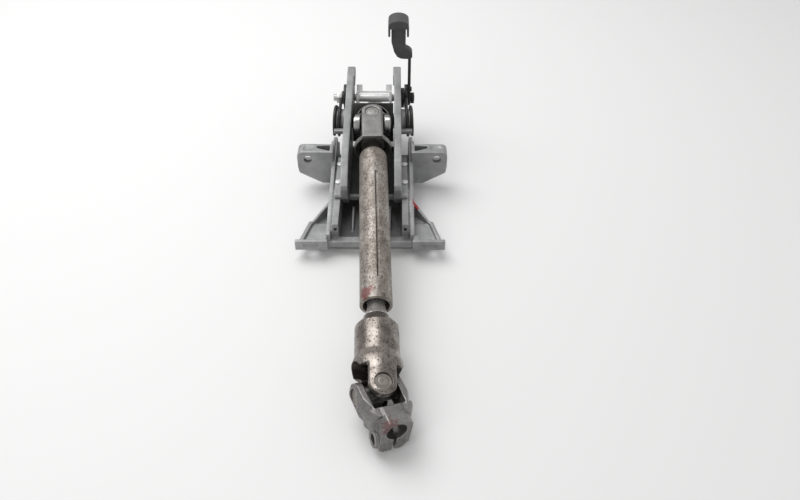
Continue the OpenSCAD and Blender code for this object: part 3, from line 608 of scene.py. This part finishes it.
# Forged yokes of the intermediate shaft: drop forged steel with rounded edges.
# The upper one has a bell over the tube's end and is satin grey. The lower one has a machined barrel,
# shiny and brown in blotches, with small pits. The split clamp yoke is plain and dull.
FORGED_SOFTENING = 6
FORGED_WAVE = 0.008
FORGED_SWELL = 0.00010
SATIN_DARK = (0.18, 0.178, 0.172)
SATIN_LIGHT = (0.29, 0.288, 0.28)
BARREL_DARK = (0.125, 0.102, 0.090)
BARREL_LIGHT = (0.42, 0.382, 0.35)
CLAMP_DARK = (0.18, 0.174, 0.168)
CLAMP_LIGHT = (0.31, 0.30, 0.29)
# Near black: pits, dirt in the corners, the darker inner walls of the forks, and painted shade in the tube's
# groove.
PIT_AND_SHADE_TONE = (0.030, 0.024, 0.020)
FORGED_METALLIC = 0.85
FORGED_CLOUDS = (80, 7.0, 0.62)
FORGED_GRAINS = (900, 4.0, 0.65)
FORGED_DARK_AT = 0.30
FORGED_LIGHT_AT = 0.68
FORGED_SPECKS = [(0.30, (0.66, 0.65, 0.64)), (0.60, WHITE)]
FORGED_WEAR = {"corners": (0.38, 0.48, 0.8, 0.0), "dirt": PIT_AND_SHADE_TONE, "edges": (0.515, 0.60, 0.0, 0.75),
               "patches": (0.35, 0.60, 0.3, 1.0), "highlight": (0.60, 0.59, 0.57)}
FORGED_PITS = {"scale": 520, "size": 0.42}
PIT_CORE = 0.5
FORGED_PIT_SHARE = 0.85
FORGED_ROUGHER = 0.10
FORGED_RELIEF = 0.00014
RED_SMEAR = (0.16, 0.075, 0.075)
SMEAR_DAB = {"radius": 0.0075, "ragged": 0.004}
PAINT_SHARE = 0.7
CLAMP_MARK_AHEAD = 0.0105
CLAMP_MARK_ASIDE = 0.006
CLAMP_MARK_ABOVE = 0.0105
FORK_GAP = 0.0135
FORK_DARK_FROM = 0.0004
FORK_DARK_TO = 0.0011
FORK_DARK_SHARE = 0.88
LOWER_ROOT = 0.025
CLAMP_ROOT = 0.022
clamp_way = Vector(mounts["pinion_bore"]["axis"])
clamp_side = clamp_way.cross(Vector((0, 0, 1))).normalized()
clamp_up = clamp_side.cross(clamp_way)
clamp_left = clamp_side * (-1 if clamp_side.x > 0 else 1)
clamp_mark = (Vector(mounts["pinion_bore"]["pos_m"]) + CLAMP_MARK_AHEAD * clamp_way
              + CLAMP_MARK_ASIDE * clamp_left + CLAMP_MARK_ABOVE * clamp_up)
lower_joint = Vector(joints["lower_yaw"]["pos_m"])
upper_joint = Vector(joints["upper_yaw"]["pos_m"])
shaft_way = (lower_joint - upper_joint).normalized()
lower_fork = (Vector(joints["lower_yaw"]["axis"]), -shaft_way, LOWER_ROOT)
clamp_fork = (Vector(joints["lower_pitch"]["axis"]), clamp_way, CLAMP_ROOT)


def pits_node(tree, place, scale, size, share):
    """Value that is 1 in small scattered pits and 0 on the skin between them."""
    cells = tree.nodes.new("ShaderNodeTexVoronoi")
    cells.inputs["Scale"].default_value = scale
    tree.links.new(place, cells.inputs["Vector"])
    apart = tree.nodes.new("ShaderNodeSeparateColor")
    tree.links.new(cells.outputs["Color"], apart.inputs[0])
    chosen = math_node(tree, "LESS_THAN", apart.outputs[0], share)
    hollow = range_node(tree, cells.outputs["Distance"], PIT_CORE * size, size, 1.0, 0.0)
    return product(tree, hollow, chosen)


def fork_inner_darkening(tree, axis, way, root):
    """Share of darker colour on the inner walls of the fork at the lower joint, up to its round root."""
    from_joint = vector_node(tree, "SUBTRACT", object_place(tree), lower_joint)
    aside = vector_node(tree, "DOT_PRODUCT", from_joint, axis)
    along = vector_node(tree, "DOT_PRODUCT", from_joint, way)
    past = math_node(tree, "MAXIMUM", math_node(tree, "SUBTRACT", along, root - FORK_GAP), 0.0)
    squares = math_node(tree, "ADD", product(tree, aside, aside), product(tree, past, past))
    away = math_node(tree, "SQRT", squares, 0.0)
    return range_node(tree, away, FORK_GAP + FORK_DARK_FROM, FORK_GAP + FORK_DARK_TO,
                      FORK_DARK_SHARE, 0.0)


def forged_finish(name, dark, light, rough, pits=0.0, mark=None, fork=None):
    """Forged steel: blotches of tone, worn bright edges, dirt in the corners and scattered pits."""
    finish, tree, shader = new_finish(name, FORGED_METALLIC)
    place = object_place(tree)
    clouds = noise_node(tree, place, *FORGED_CLOUDS)
    grains = noise_node(tree, place, *FORGED_GRAINS)
    tones = [(FORGED_DARK_AT, dark), (FORGED_LIGHT_AT, light)]
    colour = worn(tree, speckled(tree, clouds, tones, grains, FORGED_SPECKS), clouds, FORGED_WEAR)
    height = grains
    if pits:
        holes = pits_node(tree, place, share=pits, **FORGED_PITS)
        colour = mix_node(tree, product(tree, holes, FORGED_PIT_SHARE), colour, PIT_AND_SHADE_TONE)
        height = math_node(tree, "SUBTRACT", grains, holes)
    if mark:
        smear = product(tree, dab_node(tree, mark, **SMEAR_DAB), PAINT_SHARE)
        colour = mix_node(tree, smear, colour, RED_SMEAR)
    if fork:
        colour = mix_node(tree, fork_inner_darkening(tree, *fork), colour, PIT_AND_SHADE_TONE)
    gloss = range_node(tree, clouds, NOISE_LOW, NOISE_HIGH, rough + FORGED_ROUGHER, rough - SMOOTHER)
    lay_finish(tree, shader, colour, gloss, height, FORGED_RELIEF)
    return finish


satin_forging = forged_finish("satin_forging", SATIN_DARK, SATIN_LIGHT, rough=0.42)
pitted_barrel = forged_finish("pitted_barrel", BARREL_DARK, BARREL_LIGHT, rough=0.29, pits=0.62,
                              fork=lower_fork)
dull_forging = forged_finish("dull_forging", CLAMP_DARK, CLAMP_LIGHT, rough=0.42, pits=0.08,
                             mark=clamp_mark, fork=clamp_fork)
for node, body, finish in (("upper_yoke", "intermediate", satin_forging),
                           ("lower_yoke", "slider", pitted_barrel),
                           ("clamp_yoke", "pinion_clamp", dull_forging)):
    forging = cast_copy(node, node + "_forging", finish, FORGED_VOXEL, FORGED_SOFTENING, keep=1.0)
    uneven(forging, FORGED_WAVE, FORGED_SWELL)
    dress(forging, node, body)

# Bearing cups: drawn steel cups pressed into the ears, each with needles around a journal.
# The closed end shows: a round shoulder, a turned ring and a face that is dished a little.
CUP_R = 0.00738
CUP_BORE = 0.00505
CUP_FACE = 0.0201
CUP_DEPTH = 0.0064
CUP_FLOOR = 0.0012
CUP_ROUND = 0.0009
CUP_ROUND_STEPS = 6
CUP_STEPS = 48
# Share of the radius and depth below the face, from the shoulder over the turned ring to the middle.
CUP_RINGS = ((0.74, 0), (0.70, 0.00025), (0.60, 0.00025), (0.56, 0.00005), (0.28, 0.00015), (0, 0.0002))
CUP_DARK = (0.21, 0.188, 0.165)
CUP_LIGHT = (0.37, 0.345, 0.305)
PALE_CUP_DARK = (0.24, 0.235, 0.222)
PALE_CUP_LIGHT = (0.41, 0.403, 0.385)
UPPER_CUP_SINK = 0.0006
CUP_SURFACE = {"metallic": 0.6, "rough": 0.46, "clouds": 260, "grains": 1300, "relief": 0.00010}
cup_steel = plain_metal("cup_steel", CUP_DARK, CUP_LIGHT, **CUP_SURFACE)
pale_cup = plain_metal("pale_cup", PALE_CUP_DARK, PALE_CUP_LIGHT, **CUP_SURFACE)
cup_profile = [(0, CUP_FACE - CUP_FLOOR), (CUP_BORE, CUP_FACE - CUP_FLOOR),
               (CUP_BORE, CUP_FACE - CUP_DEPTH), (CUP_R, CUP_FACE - CUP_DEPTH)]
for step in range(CUP_ROUND_STEPS + 1):
    turn = math.radians(90 * step / CUP_ROUND_STEPS)
    cup_profile.append((CUP_R - CUP_ROUND * (1 - math.cos(turn)),
                        CUP_FACE - CUP_ROUND * (1 - math.sin(turn))))
cup_profile += [(share * CUP_R, CUP_FACE - deep) for share, deep in CUP_RINGS]


def turn_profile(shape, profile, centre, way):
    """Turns a line of (radius, along) points about a line, with one vertex where the radius is nil."""
    side = way.orthogonal().normalized()
    rings = []
    for radius, along in profile:
        middle = centre + along * way
        if radius == 0:
            rings.append([shape.verts.new(middle)])
        else:
            rings.append(round_ring(shape, middle, radius, side, way.cross(side), CUP_STEPS))
    for ring, after in zip(rings, rings[1:]):
        join_rings(shape, ring, after)


for node, joint, body, finish, sink in (
        ("steering_yoke_caps", "upper_pitch", "steering", bright_steel, 0),
        ("upper_yoke_caps", "upper_yaw", "intermediate", pale_cup, UPPER_CUP_SINK),
        ("lower_yoke_caps", "lower_yaw", "slider", cup_steel, 0),
        ("clamp_yoke_caps", "lower_pitch", "pinion_clamp", cup_steel, 0)):
    cups = bmesh.new()
    for end in (-1, 1):
        way = end * Vector(joints[joint]["axis"])
        turn_profile(cups, cup_profile, Vector(joints[joint]["pos_m"]) - sink * way, way)
    pair = piece_of_shape(cups, node + "_cups", finish)
    dress(pair, node, body)

# Intermediate shaft tube: bare drawn steel tube, swaged to a round shoulder at the bell,
# with a groove pressed into its side. It has lost its coat, so it is beige and grey in fine specks.
TUBE_R = 0.015
TUBE_WALL = 0.002
TUBE_STATIONS = 90
TUBE_TURNS = 84
NECK_R = 0.0085
NECK_LENGTH = 0.0175
NECK_STEPS = 4
SHOULDER_LENGTH = 0.010
SHOULDER_STEPS = 10
LIP_ROUND = 0.0007
END_STEPS = 4
GROOVE_HALF = 0.0021
GROOVE_DEPTH = 0.0014
GROOVE_TURN = math.radians(13)
GROOVE_FROM = 0.088
GROOVE_TO = 0.226
GROOVE_END = 0.0016
GROOVE_WALL = 2.6
GROOVE_STEPS = 6
GROOVE_INSIDE = 0.6
TUBE_METALLIC = 0.6
TUBE_DRAW = (1, 0.6, 1)
TUBE_PALE = (0.52, 0.49, 0.455)
TUBE_BLOTCHES = (95, 6.0, 0.6)
TUBE_TONES = [(0.28, (0.175, 0.142, 0.120)), (0.48, (0.32, 0.288, 0.258)), (0.74, TUBE_PALE)]
TUBE_SPECKS = (620, 5.0, 0.72)
TUBE_SPECK_TONES = [(0.36, (0.42, 0.39, 0.37)), (0.50, (0.88, 0.87, 0.86)), (0.60, WHITE)]
TUBE_PALE_SPECKS = (0.60, 0.68, 0.0, 0.7)
TUBE_PITS = {"scale": 430, "size": 0.36, "share": 0.16}
TUBE_PIT_SHARE = 0.8
TUBE_CORNERS = (0.40, 0.48, 0.85, 0.0)
TUBE_EDGES = (0.53, 0.62, 0.0, 0.6)
TUBE_ROUGH = (0.35, 0.65, 0.56, 0.40)
TUBE_RELIEF = 0.00022
TUBE_RED = (0.20, 0.05, 0.055)
TUBE_DAB = {"radius": 0.007, "ragged": 0.004}
TUBE_MARK_BACK = 0.0075
TUBE_MARK_ABOVE = 0.75
TUBE_MARK_ASIDE = -0.66
# The neck inside the bell: dark metal, darkened further with painted shade from the bell.
NECK_DARK_AND_SHADE = (0.075, 0.070, 0.064)
NECK_FADE = 0.0012
NECK_SHARE = 0.9
# Dirt and painted shade along one wall of the groove, the wall that is in shade.
GROOVE_DIRT_SHADE_FROM = 0.0004
GROOVE_DIRT_SHADE_TO = 0.0009
GROOVE_DIRT_SHADE_END = 0.0016
GROOVE_DIRT_SHADE_SHARE = 0.85
GROOVE_DIRT_SHADE_FADE = 0.001
shaft_up = Vector(joints["upper_yaw"]["axis"])
shaft_up = shaft_up * (1 if shaft_up.z > 0 else -1)
shaft_side = shaft_up.cross(shaft_way)


def reach_on_shaft(node):
    """First and last distance of a solid from the upper joint, along the shaft."""
    reaches = [shaft_way.dot(vertex.co - upper_joint) for vertex in frame["nodes"][node].data.vertices]
    return min(reaches), max(reaches)


tube_from, tube_to = reach_on_shaft("shaft_tube")
tube_mark = (upper_joint + (tube_to - TUBE_MARK_BACK) * shaft_way
             + TUBE_R * (TUBE_MARK_ABOVE * shaft_up + TUBE_MARK_ASIDE * shaft_side))


def groove_dirt_and_shade(tree, along, aside, above):
    """Share of dirt and painted shade in a line along the groove's wall that is in shade."""
    wall = TUBE_R * math.sin(GROOVE_TURN) - GROOVE_HALF
    return product(tree, range_node(tree, aside, wall, wall + GROOVE_DIRT_SHADE_FROM, 0.0, GROOVE_DIRT_SHADE_SHARE),
                   range_node(tree, aside, wall + GROOVE_DIRT_SHADE_TO, wall + GROOVE_DIRT_SHADE_END, 1.0, 0.0),
                   range_node(tree, along, GROOVE_FROM, GROOVE_FROM + GROOVE_DIRT_SHADE_FADE, 0.0, 1.0),
                   range_node(tree, above, 0.0, GROOVE_DIRT_SHADE_FADE, 0.0, 1.0),
                   range_node(tree, along, GROOVE_TO - GROOVE_DIRT_SHADE_FADE, GROOVE_TO, 1.0, 0.0))


def tube_finish(name, mark):
    """Bare drawn tube: beige blotches, pale and dark specks along the draw, small pits, a dab of paint, a dark
    neck with painted shade, and dirt with painted shade along the groove.
    """
    finish, tree, shader = new_finish(name, TUBE_METALLIC)
    place = object_place(tree, TUBE_DRAW)
    blotches = noise_node(tree, place, *TUBE_BLOTCHES)
    specks = noise_node(tree, place, *TUBE_SPECKS)
    holes = pits_node(tree, place, **TUBE_PITS)
    bend = bend_node(tree)
    from_joint = vector_node(tree, "SUBTRACT", object_place(tree), upper_joint)
    along, aside, above = (vector_node(tree, "DOT_PRODUCT", from_joint, way)
                           for way in (shaft_way, shaft_side, shaft_up))
    neck_end = tube_from + NECK_LENGTH
    colour = speckled(tree, blotches, TUBE_TONES, specks, TUBE_SPECK_TONES)
    for share, tone in (
            (range_node(tree, specks, *TUBE_PALE_SPECKS), TUBE_PALE),
            (product(tree, holes, TUBE_PIT_SHARE), PIT_AND_SHADE_TONE),
            (range_node(tree, bend, *TUBE_CORNERS), PIT_AND_SHADE_TONE),
            (range_node(tree, bend, *TUBE_EDGES), TUBE_PALE),
            (product(tree, dab_node(tree, mark, **TUBE_DAB), PAINT_SHARE), TUBE_RED),
            # Dark metal and painted shade on the neck; dirt and painted shade along one wall of the groove.
            (range_node(tree, along, neck_end, neck_end + NECK_FADE, NECK_SHARE, 0.0), NECK_DARK_AND_SHADE),
            (groove_dirt_and_shade(tree, along, aside, above), PIT_AND_SHADE_TONE)):
        colour = mix_node(tree, share, colour, tone)
    relief = math_node(tree, "SUBTRACT", specks, holes)
    lay_finish(tree, shader, colour, range_node(tree, specks, *TUBE_ROUGH), relief, TUBE_RELIEF)
    return finish


def tube_radius(along):
    """Outer radius of the tube, with its neck, its round shoulder and its round end."""
    past_neck = along - tube_from - NECK_LENGTH
    if past_neck <= 0:
        return NECK_R
    if past_neck < SHOULDER_LENGTH:
        rise = 1 - past_neck / SHOULDER_LENGTH
        return NECK_R + (TUBE_R - NECK_R) * math.sqrt(1 - rise * rise)
    to_end = tube_to - along
    if to_end < LIP_ROUND:
        return TUBE_R - LIP_ROUND * (1 - math.sqrt(1 - (1 - to_end / LIP_ROUND) ** 2))
    return TUBE_R


def groove_depth(turn, along):
    """Depth of the pressed groove at a turn about the shaft and a distance along it."""
    aside = abs(turn - GROOVE_TURN) * TUBE_R / GROOVE_HALF
    inside = min(along - GROOVE_FROM, GROOVE_TO - along) / GROOVE_END
    if aside >= 1 or inside <= 0:
        return 0
    return GROOVE_DEPTH * min(1, GROOVE_WALL * (1 - aside)) * min(1, inside)


def tube_turns():
    """Turns about the shaft for the tube's vertices, closer together at the groove."""
    fine = [GROOVE_TURN + GROOVE_HALF / TUBE_R * step / GROOVE_STEPS
            for step in range(-GROOVE_STEPS - 1, GROOVE_STEPS + 2)]
    rest = 2 * math.pi - fine[-1] + fine[0]
    return fine + [fine[-1] + rest * step / TUBE_TURNS for step in range(1, TUBE_TURNS)]


def tube_stations():
    """Distances along the shaft for the tube's vertices, closer together at the shoulder and the end."""
    shoulder = tube_from + NECK_LENGTH
    body = shoulder + SHOULDER_LENGTH
    body_length = tube_to - LIP_ROUND - body
    stops = [tube_from + NECK_LENGTH * step / NECK_STEPS for step in range(NECK_STEPS)]
    for step in range(SHOULDER_STEPS):
        turn = math.radians(90 * step / SHOULDER_STEPS)
        stops.append(shoulder + SHOULDER_LENGTH * (1 - math.cos(turn)))
    stops += [body + body_length * step / TUBE_STATIONS for step in range(TUBE_STATIONS)]
    for end in (GROOVE_FROM, GROOVE_TO - GROOVE_END):
        stops += [end + GROOVE_END * step / END_STEPS for step in range(END_STEPS + 1)]
    return sorted(stops) + [tube_to - LIP_ROUND * (1 - step / END_STEPS) for step in range(END_STEPS + 1)]


def drawn_tube(name, finish):
    """Closed tube of an outer and an inner skin, with the groove pressed in from outside."""
    shape = bmesh.new()
    skins = []
    for wall, pressed in ((0, 1), (TUBE_WALL, GROOVE_INSIDE)):
        skin = []
        for along in tube_stations():
            ring = []
            for turn in tube_turns():
                radius = tube_radius(along) - pressed * groove_depth(turn, along) - wall
                out = math.cos(turn) * shaft_up + math.sin(turn) * shaft_side
                ring.append(shape.verts.new(upper_joint + along * shaft_way + radius * out))
            skin.append(ring)
        skins.append(skin)
    outer, inner = skins
    ends = [(outer[0], inner[0]), (outer[-1], inner[-1])]
    for ring, after in [*zip(outer, outer[1:]), *zip(inner, inner[1:]), *ends]:
        join_rings(shape, ring, after)
    return piece_of_shape(shape, name, finish)


bare_tube = tube_finish("bare_tube", tube_mark)
tube = drawn_tube("shaft_tube_drawn", bare_tube)
dress(tube, "shaft_tube", "intermediate")

# Splined shaft: a steel bar with cut splines that slide in the tube, and a polished neck at the barrel.
# The neck flares to a collar where it is welded to the lower yoke.
SPLINE_TEETH = 24
SPLINE_POINTS = 4
SPLINE_R = 0.0093
SPLINE_CUT = 0.0008
SPLINE_RUNOUT = 0.0008
BAR_CHAMFER = 0.001
BAR_NECK_R = SPLINE_R - SPLINE_CUT
BAR_NECK_INSIDE = 0.003
COLLAR_R = 0.0118
COLLAR_LENGTH = 0.0125
COLLAR_GAP = 0.0016
COLLAR_STEPS = 6
COLLAR_FLARE = 1.6
COLLAR_EDGE = 0.0003
COLLAR_EDGE_LENGTH = 0.0004
COLLAR_BACK = 0.0005
POLISHED_DARK = (0.52, 0.50, 0.475)
POLISHED_LIGHT = (0.78, 0.765, 0.74)
bar_from, bar_to = reach_on_shaft("splined_shaft")
bar_neck_from = tube_to - BAR_NECK_INSIDE
barrel_top = reach_on_shaft("lower_yoke")[0]
collar_from = barrel_top - COLLAR_LENGTH
collar_to = barrel_top - COLLAR_GAP
polished_neck = plain_metal("polished_neck", POLISHED_DARK, POLISHED_LIGHT, metallic=0.8, rough=0.25,
                            clouds=200, grains=1500, relief=0.00003)


def spline_ring(shape, along, radius, cut):
    """Ring of vertices around the bar with a cut between each two teeth."""
    count = SPLINE_POINTS * SPLINE_TEETH
    ring = []
    for k in range(count):
        turn = 2 * math.pi * (k + 0.5) / count
        deep = cut if k % SPLINE_POINTS < SPLINE_POINTS / 2 else 0
        out = math.cos(turn) * shaft_up + math.sin(turn) * shaft_side
        ring.append(shape.verts.new(upper_joint + along * shaft_way + (radius - deep) * out))
    return ring


bar_rings = [(bar_from, SPLINE_R - BAR_CHAMFER, SPLINE_CUT / 2),
             (bar_from + BAR_CHAMFER, SPLINE_R, SPLINE_CUT),
             (bar_neck_from - SPLINE_RUNOUT, SPLINE_R, SPLINE_CUT),
             (bar_neck_from, BAR_NECK_R, 0),
             (collar_from, BAR_NECK_R, 0)]
for step in range(1, COLLAR_STEPS + 1):
    share = step / COLLAR_STEPS
    bar_rings.append((collar_from + (collar_to - collar_from) * share,
                      BAR_NECK_R + (COLLAR_R - BAR_NECK_R) * share ** COLLAR_FLARE, 0))
bar_rings += [(collar_to + COLLAR_EDGE_LENGTH, COLLAR_R - COLLAR_EDGE, 0),
              (collar_to + COLLAR_BACK, SPLINE_R, 0), (bar_to, SPLINE_R, 0)]
bar_shape = bmesh.new()
skin_rings(bar_shape, [spline_ring(bar_shape, *ring) for ring in bar_rings])
splined = piece_of_shape(bar_shape, "splined_shaft_bar", polished_neck)
splined.data.materials.append(bright_steel)
for face in splined.data.polygons:
    if shaft_way.dot(face.center - upper_joint) < bar_neck_from:
        face.material_index = 1
dress(splined, "splined_shaft", "slider")

# Slide sleeve: a pale moulded sleeve on the splined shaft, inside the tube, where nothing shows it.
# It takes up the play of the splines.
SLEEVE_DARK = (0.50, 0.48, 0.42)
SLEEVE_LIGHT = (0.62, 0.60, 0.53)
SLEEVE_CHAMFER = 0.0003
sleeve_plastic = plain_metal("sleeve_plastic", SLEEVE_DARK, SLEEVE_LIGHT, metallic=0.0, rough=0.5,
                             clouds=60, grains=1500, relief=0.00004)
sleeve = edged_copy("slide_sleeve", "slide_sleeve_moulding", SLEEVE_CHAMFER, sleeve_plastic)
dress(sleeve, "slide_sleeve", "slider")

# Bench: a plain pale top under the column, painted, with a soft sheen.
# Light comes from a wide ceiling lamp, a small window lamp and the white room.
FLOOR_HALF = 3.0
FLOOR_GAP = 0.0001
FLOOR_COLOUR = (0.86, 0.86, 0.857, 1)
FLOOR_ROUGH = 0.6
LAMP_AIM = Vector((0, -0.05, 0))
ROOM_COLOUR = (1, 1, 1, 1)
ROOM_STRENGTH = 0.55
floor_z = cad_box[0][2] - FLOOR_GAP
floor_corners = [(FLOOR_HALF * x, FLOOR_HALF * y, floor_z) for x, y in ((-1, -1), (1, -1), (1, 1), (-1, 1))]
floor_mesh = bpy.data.meshes.new("bench_top")
floor_mesh.from_pydata(floor_corners, [], [(0, 1, 2, 3)])
floor = placed("bench_top", floor_mesh)
bench_white, _, bench_shader = new_finish("bench_white", 0.0)
bench_shader.inputs["Base Color"].default_value = FLOOR_COLOUR
bench_shader.inputs["Roughness"].default_value = FLOOR_ROUGH
floor_mesh.materials.append(bench_white)


def area_lamp(name, place, size, power):
    """Soft square lamp that shines on the column."""
    lamp = bpy.data.lights.new(name, "AREA")
    lamp.size = size
    lamp.energy = power
    holder = placed(name, lamp)
    holder.location = place
    holder.rotation_euler = (LAMP_AIM - Vector(place)).to_track_quat("-Z", "Y").to_euler()


area_lamp("ceiling_lamp", place=(-0.5, 0.45, 1.35), size=1.2, power=15)
area_lamp("window_lamp", place=(-1.0, -1.2, 0.9), size=0.5, power=2)
world = bpy.data.worlds.new("room")
world.use_nodes = True
world.node_tree.nodes["Background"].inputs["Color"].default_value = ROOM_COLOUR
world.node_tree.nodes["Background"].inputs["Strength"].default_value = ROOM_STRENGTH
bpy.context.scene.world = world

# Camera: it stands where the photograph was taken, in front of the clamp end and above it.
# Its place, turn and focal length were fitted to points on the column.
PHOTO_WIDTH = 800
FOCAL_PIXELS = 688.55
SENSOR_WIDTH = 36
CLIP_START = 0.01
CAMERA_PLACE = Vector((0.024807, -0.606852, 0.491033))
CAMERA_YAW = math.radians(0.646)
CAMERA_PITCH = math.radians(42.585)
CAMERA_ROLL = math.radians(0.511)
camera = bpy.data.cameras.new("photo_camera")
camera.sensor_width = SENSOR_WIDTH
camera.lens = SENSOR_WIDTH * FOCAL_PIXELS / PHOTO_WIDTH
camera.clip_start = CLIP_START
level = Vector((math.sin(CAMERA_YAW), math.cos(CAMERA_YAW), 0))
ahead = math.cos(CAMERA_PITCH) * level - math.sin(CAMERA_PITCH) * Vector((0, 0, 1))
right = Vector((math.cos(CAMERA_YAW), -math.sin(CAMERA_YAW), 0))
above = right.cross(ahead)
rolled_right = math.cos(CAMERA_ROLL) * right + math.sin(CAMERA_ROLL) * above
rolled_above = -math.sin(CAMERA_ROLL) * right + math.cos(CAMERA_ROLL) * above
facing = Matrix((rolled_right, rolled_above, -ahead)).transposed().to_4x4()
holder = placed("photo_camera", camera)
holder.matrix_world = Matrix.Translation(CAMERA_PLACE) @ facing
bpy.context.scene.camera = holder
